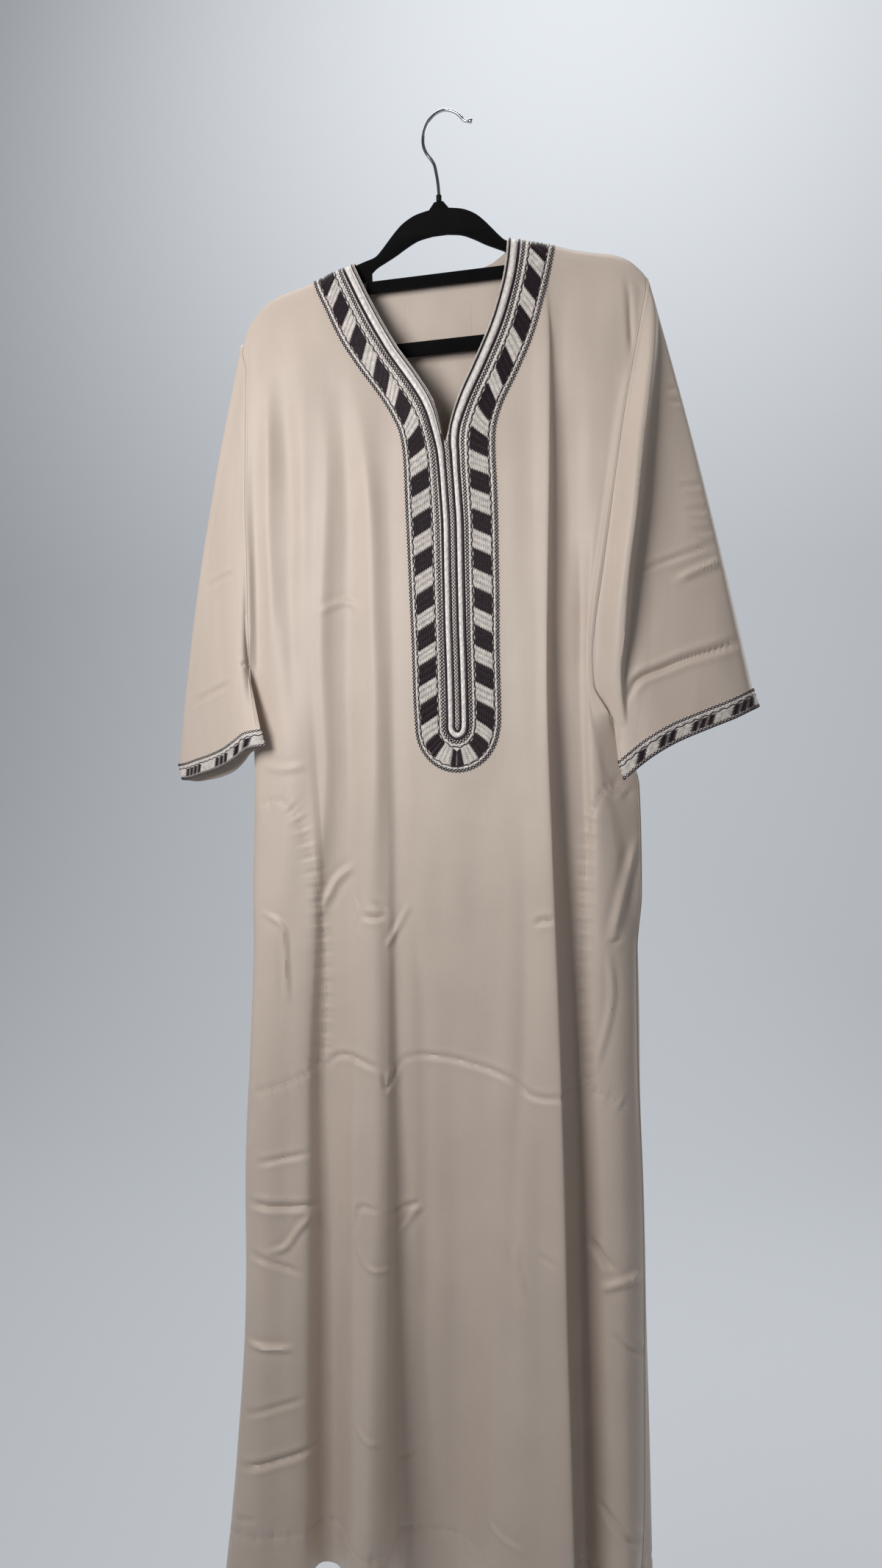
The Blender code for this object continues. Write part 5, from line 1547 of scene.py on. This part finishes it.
class ROBE_OT_cuffs(bpy.types.Operator):
    """Embroidered band of each cuff"""
    bl_idname = "robe.cuffs"
    bl_label = "Cuff Bands"

    def execute(self, context):
        for side in ("right", "left"):
            band = CuffBand(side)
            name = "cuff_band_" + side
            places = np.linspace(0, band.along[-1], round(band.along[-1] / GROUND_STEP), endpoint=False)
            depths = np.linspace(0, CUFF_HEIGHT - 0.1, 8)
            rows = [band.laid(places, depth, GROUND_LIFT)[0] for depth in depths]
            grid = np.array(rows).transpose(1, 0, 2)
            mesh = sheet_mesh(name + "_ground", grid, flip=side == "right", closed=True)
            ground = new_piece(name + "_ground", mesh, rayon("light_thread"), (name,))
            settle(ground, GROUND_WALL, offset=1)
            dark, light = Threads(), Threads()
            self.braids(band, dark, light, in_mm("braid_pitch"))
            self.blocks(band, side, dark, light, in_mm("thread_pitch"))
            for tone, threads in (("dark", dark), ("light", light)):
                new_piece(name + "_" + tone, threads.mesh(name + "_" + tone), rayon(tone + "_thread"))
        return {"FINISHED"}

    def braids(self, band, dark, light, pitch):
        """Chains of diamonds along both edges, and the wavy line and light bars between."""
        count = 4 * round(band.along[-1] / (2 * pitch))
        at = np.arange(count) * band.along[-1] / count
        for layer in ("upper braid", "lower braid"):
            for swing in (-BRAID_SWING[layer], BRAID_SWING[layer]):
                depth = CUFF_LAYERS[layer] + swing * np.sin(math.pi / 2 * np.arange(count))
                band.lay(dark, at, depth, "cuff braid", closed=True)
        edge = np.arange(0, band.along[-1], CUFF_EDGE_STEP)
        band.lay(dark, edge, CUFF_HEIGHT - 0.2, "cuff edge", closed=True)
        wave = np.arange(0, band.along[-1], WAVE_STEP)
        depth = CUFF_LAYERS["wave"] + CUFF_WAVE_SWING * np.sin(wave * math.tau / WAVE_PERIOD)
        band.lay(dark, wave, depth, "wave", closed=True)
        for start in np.arange(0, band.along[-1] - 5, BAR_PERIOD):
            bar = start + np.linspace(0, BAR_LENGTH, 3)
            band.lay(light, bar, CUFF_LAYERS["strip"], "cuff bar", ends=BEAD_ENDS)

    def blocks(self, band, side, dark, light, pitch):
        """Slanting satin blocks, threads along the cuff."""
        top, bottom = CUFF_LAYERS["blocks from"], CUFF_LAYERS["blocks to"]
        count = round((bottom - top) / pitch)
        slant = CUFF_SLANT * (1 if side == "right" else -1)
        edges = [end for pair in band.dark_ranges(side) for end in pair]
        spans = zip(edges, edges[1:] + [edges[0] + band.along[-1]])
        for k, (start, end) in enumerate(spans):
            threads = light if k % 2 else dark
            cells = max(1, round((end - start) / CUFF_CELL))
            for i in range(count):
                depth = top + (i + 0.5) * (bottom - top) / count
                shift = slant * ((top + bottom) / 2 - depth) + (0.4 if i % 2 else -0.4)
                cuts = np.linspace(start, end, cells + 1) + shift
                for a, b in zip(cuts, cuts[1:]):
                    line = band.laid(np.linspace(a + 0.1, b - 0.1, 4), depth, THREAD_LIFT)
                    threads.strand(*line, pitch * THREAD_HALF, THREAD_HIGH, THREAD_ENDS)


# ---------------------------------------------------------------- seams and pockets


def seam_route(side, face, aside, first=0, last=None):
    """A line on a panel beside its seam edge, this far in from it."""
    way = 1 if side == "right" else -1
    grid = panel_grid(face)
    rows = grid[::way][:8].transpose(1, 0, 2)[first:last]
    points = [[np.interp(aside, lengths(row), places) for places in row.T] for row in rows]
    return np.array(points), facing(grid, face)[::way][2, first:last]


def sew(threads, points, normals, pitch, radius=STITCH_RADIUS):
    """A row of lockstitches along points that lie on cloth."""
    length = lengths(points)
    count = int(length[-1] / pitch)
    for start in np.arange(count) * pitch:
        at = start + np.array((0.15, 0.5, 0.85)) * pitch
        line, up = (np.column_stack([np.interp(at, length, column) for column in np.asarray(rows).T])
                    for rows in (points, normals))
        lift = np.array((0.05, radius, 0.05))[:, None]
        threads.strand(line + up * lift, up, radius, radius, ends=0.6)


def rolled_edge(threads, points, radius):
    """A smooth round edge that runs along points, seen from the front."""
    points = even(points, 4)
    way = np.gradient(points, axis=0)
    normals = np.cross(np.cross(way, (0, 1, 0.01)), way)
    normals /= np.linalg.norm(normals, axis=1, keepdims=True)
    threads.strand(points, normals, radius, radius, 0.6)


class ROBE_OT_seams(bpy.types.Operator):
    """Seams and rows of stitches"""
    bl_idname = "robe.seams"
    bl_label = "Seams"

    def execute(self, context):
        slots = ("front_panel", "back_panel", "sleeve_right", "sleeve_left")
        rows = {slot: Threads(sides=5) for slot in slots}
        panels = ((-1, rows["front_panel"]), (1, rows["back_panel"]))
        pitch = in_mm("stitch_length")
        for side in ("right", "left"):
            self.panel_seams(side, panels, pitch)
            self.sleeve_seams(side, rows["sleeve_" + side], pitch)
        for outline in POCKET_OUTLINE.values():
            route = even(rounded(outline, 4), 2)
            sew(rows["front_panel"], *map(np.array, laid(route, 0)), pitch, TOPSTITCH_RADIUS)
        hem = [(x, HEM_STITCH) for x in np.arange(*HEM_SPAN, 2.0)]
        for face, threads in panels:
            sew(threads, *map(np.array, laid(hem, 0, face)), pitch, TOPSTITCH_RADIUS)
        neck = [(x, z - NECK_STITCH) for x, z in BACK_NECK_EDGE[2:-2]]
        for line in (BACK_PATCH_STITCHES, neck):
            points, normals = map(np.array, laid(even(line, 2), -in_mm("cloth_wall"), 1))
            sew(rows["back_panel"], points, -normals, pitch)
        for slot, threads in rows.items():
            name = slot.replace("_panel", "_stitches").replace("sleeve_", "sleeve_stitches_")
            new_piece(name, threads.mesh(name), sewing_thread())
        return {"FINISHED"}

    def panel_seams(self, side, panels, pitch):
        """Stitches beside the armhole and the side seam, and the side seam's rolled edge."""
        underarm = ARMHOLE[side][-1][0]
        last = int(np.argmin(abs(row_heights(ARMHOLE_SEAT[side]) - underarm)))
        for face, threads in panels:
            sew(threads, *seam_route(side, face, SEAM_STITCHES["armhole"], 3, last - 1), pitch)
            sew(threads, *seam_route(side, face, SEAM_STITCHES["side"], last + 4), pitch)
        middle = (edge_lines(side, -1)[0] + edge_lines(side, 1)[0]) / 2
        cord = Threads(sides=8)
        outward = -0.3 if side == "right" else 0.3
        rolled_edge(cord, middle[last + 3:-1] + (outward, 0, 0), SIDE_CORD)
        name = "side_seam_" + side
        new_piece(name, cord.mesh(name), sateen())

    def sleeve_seams(self, side, threads, pitch):
        """Stitches round the armhole on the sleeve, and down its inner fold."""
        grid = sleeve_grid(side)
        half = len(armhole_loop(side)[0])
        ring = grid[:, 1]
        normal = np.zeros(ring.shape)
        normal[:half, 1] = -1
        normal[half:, 1] = 1
        for part in (slice(2, half - 2), slice(half + 1, -2)):
            sew(threads, ring[part], normal[part], pitch)
        fold = grid[half - 2, 4:-2 - CUFF_ROWS] + (0, -0.1, 0)
        sew(threads, fold, np.tile((0, -1, 0), (len(fold), 1)), pitch)


class ROBE_OT_pockets(bpy.types.Operator):
    """Pocket bags, inside the front"""
    bl_idname = "robe.pockets"
    bl_label = "Pocket Bags"

    def execute(self, context):
        grid = panel_grid(-1)[::2]
        heights = grid[0, :, 2]
        grid = grid[:, (heights < POCKET_ROWS[0]) & (heights > POCKET_ROWS[1])][:, ::2]
        inside_face = grid - facing(grid, -1) * POCKET_DEPTH
        for side, outline in POCKET_OUTLINE.items():
            name = "pocket_cloth_" + side
            mesh = sheet_mesh(name, inside_face, flip=True)
            piece = new_piece(name, mesh, sateen(), ("pocket_bag_" + side,))
            settle(piece, POCKET_WALL, cutter("pocket", outline, -90, 90), "INTERSECT")
        return {"FINISHED"}


class ROBE_OT_hanger(bpy.types.Operator):
    """Velvet hanger with its chromed hook"""
    bl_idname = "robe.hanger"
    bl_label = "Hanger"

    def flat_frame(self):
        """Flat frame with its arch and the space over the pants bar, edges softened by the flock."""
        curve = bpy.data.curves.new("hanger_outline", "CURVE")
        curve.dimensions = "2D"
        curve.fill_mode = "BOTH"
        curve.extrude = HANGER_THICKNESS / 2 * MM
        corners, curved = ARM_TOP[:ARM_CORNERS], ARM_TOP[ARM_CORNERS:]
        outer = [*corners, *rounded(curved, 4), *rounded(ARM_END, 4)]
        arch = [ARCH_CORNER, *rounded(ARCH, 4)]
        under = [UNDERSIDE_CORNER, *rounded(ARM_UNDERSIDE, 4)]
        for half in (outer, arch, under):
            outline = half + [(-x, z) for x, z in half[::-1] if x > 0]
            spline = curve.splines.new("POLY")
            spline.points.add(len(outline) - 1)
            for slot, point in zip(spline.points, outline):
                x, z = on_hanger(*point)
                slot.co = (x * MM, z * MM, 0, 1)
            spline.use_cyclic_u = True
        shape = new_object("hanger_outline", curve)
        shape.modifiers.new("weld", "WELD").merge_threshold = 0.00001
        soften = shape.modifiers.new("soft edges", "BEVEL")
        soften.width = HANGER_EDGE * MM
        soften.segments = 2
        soften.limit_method = "ANGLE"
        soften.angle_limit = math.radians(50)
        mesh = finished_mesh(shape)
        bpy.data.objects.remove(shape)
        mesh.transform(Matrix.Rotation(math.pi / 2, 4, "X"))
        mesh.polygons.foreach_set("use_smooth", [True] * len(mesh.polygons))
        mesh.set_sharp_from_angle(angle=math.radians(40))
        mesh.materials.clear()
        new_piece("hanger_flocked", mesh, flocked_velvet(), ("hanger_frame",))

    def hook(self):
        """Bent wire with a ball at its tip."""
        route = even(rounded([(x, 0, z) for x, z in HOOK_ROUTE], 4), BALL_RADIUS / 2)[2:]
        wire = Threads(sides=20)
        wire.strand(route, np.tile((0.0, -1.0, 0.0), (len(route), 1)), WIRE_RADIUS, WIRE_RADIUS, ends=1)
        mesh = wire.mesh("hook_wire")
        with mended(mesh) as bm:
            ball = bmesh.ops.create_uvsphere(bm, u_segments=24, v_segments=14, radius=BALL_RADIUS * MM)
            bmesh.ops.translate(bm, verts=ball["verts"], vec=Vector(route[0]) * MM)
            for face in bm.faces:
                face.smooth = len(face.verts) < 8
        new_piece("hook_wire", mesh, chromed_steel(), ("hanger_hook",))

    def execute(self, context):
        self.flat_frame()
        self.hook()
        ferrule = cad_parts["hook_ferrule"].data.materials
        ferrule.clear()
        ferrule.append(moulded_plastic())
        return {"FINISHED"}


class ROBE_OT_stage(bpy.types.Operator):
    """Floor, light and camera"""
    bl_idname = "robe.stage"
    bl_label = "Stage"

    def backdrop(self):
        """Floor that turns up into a backdrop."""
        turn = [(COVE_BACK + COVE_TURN * (math.sin(a) - 1), FLOOR + COVE_TURN * (1 - math.cos(a)))
                for a in np.linspace(0, math.pi / 2, 33)]
        profile = [(-FLOOR_REACH, FLOOR)] + turn + [(COVE_BACK, FLOOR + FLOOR_REACH)]
        mesh = bpy.data.meshes.new("floor")
        mesh.from_pydata([(x, y, z) for y, z in profile for x in (-FLOOR_REACH, FLOOR_REACH)], [],
                         [(2 * i, 2 * i + 1, 2 * i + 3, 2 * i + 2) for i in range(len(profile) - 1)])
        mesh.polygons.foreach_set("use_smooth", [True] * len(mesh.polygons))
        mesh.materials.append(painted_floor())
        floor = new_object("floor", mesh)

    def execute(self, context):
        self.backdrop()
        world = bpy.data.worlds.new("soft daylight")
        context.scene.world = world
        world.use_nodes = True
        sky = world.node_tree.nodes["Background"].inputs
        sky["Color"].default_value = colour("daylight")
        sky["Strength"].default_value = WORLD_STRENGTH
        context.scene.view_settings.view_transform = "Standard"

        for name, place, aim, size, power in LIGHTS:
            light = bpy.data.lights.new(name, "AREA")
            light.size = size
            light.energy = power
            lamp = new_object(name, light)
            lamp.location = place
            lamp.rotation_euler = (Vector(aim) - Vector(place)).to_track_quat("-Z", "Y").to_euler()

        lens = bpy.data.cameras.new("camera")
        lens.lens = CAMERA_LENS
        camera = new_object("camera", lens)
        camera.location = CAMERA_PLACE
        camera.rotation_euler = (math.radians(90), 0, CAMERA_TURN)
        context.scene.camera = camera
        return {"FINISHED"}


class ROBE_PT_panel(bpy.types.Panel):
    """Settings and pieces of the robe"""
    bl_idname = "ROBE_PT_panel"
    bl_label = "Robe"
    bl_space_type = "VIEW_3D"
    bl_region_type = "UI"
    bl_category = "Robe"

    def draw(self, context):
        for group in (context.scene.robe_sizes, context.scene.robe_colours):
            box = self.layout.box()
            for name in group.__annotations__:
                box.prop(group, name)
        for operator in OPERATORS:
            self.layout.operator(operator.bl_idname)


OPERATORS = (
    ROBE_OT_stage, ROBE_OT_front, ROBE_OT_back, ROBE_OT_sleeves, ROBE_OT_neck_band, ROBE_OT_cuffs,
    ROBE_OT_seams, ROBE_OT_pockets, ROBE_OT_hanger,
)
CLASSES = (RobeSizes, RobeColours) + OPERATORS + (ROBE_PT_panel,)


def register():
    for item in CLASSES:
        bpy.utils.register_class(item)
    bpy.types.Scene.robe_sizes = PointerProperty(type=RobeSizes)
    bpy.types.Scene.robe_colours = PointerProperty(type=RobeColours)


def unregister():
    del bpy.types.Scene.robe_colours
    del bpy.types.Scene.robe_sizes
    for item in reversed(CLASSES):
        bpy.utils.unregister_class(item)


def main():
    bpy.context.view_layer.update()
    register()
    for operator in OPERATORS:
        group, name = operator.bl_idname.split(".")
        getattr(getattr(bpy.ops, group), name)()


if __name__ == "__main__":
    main()
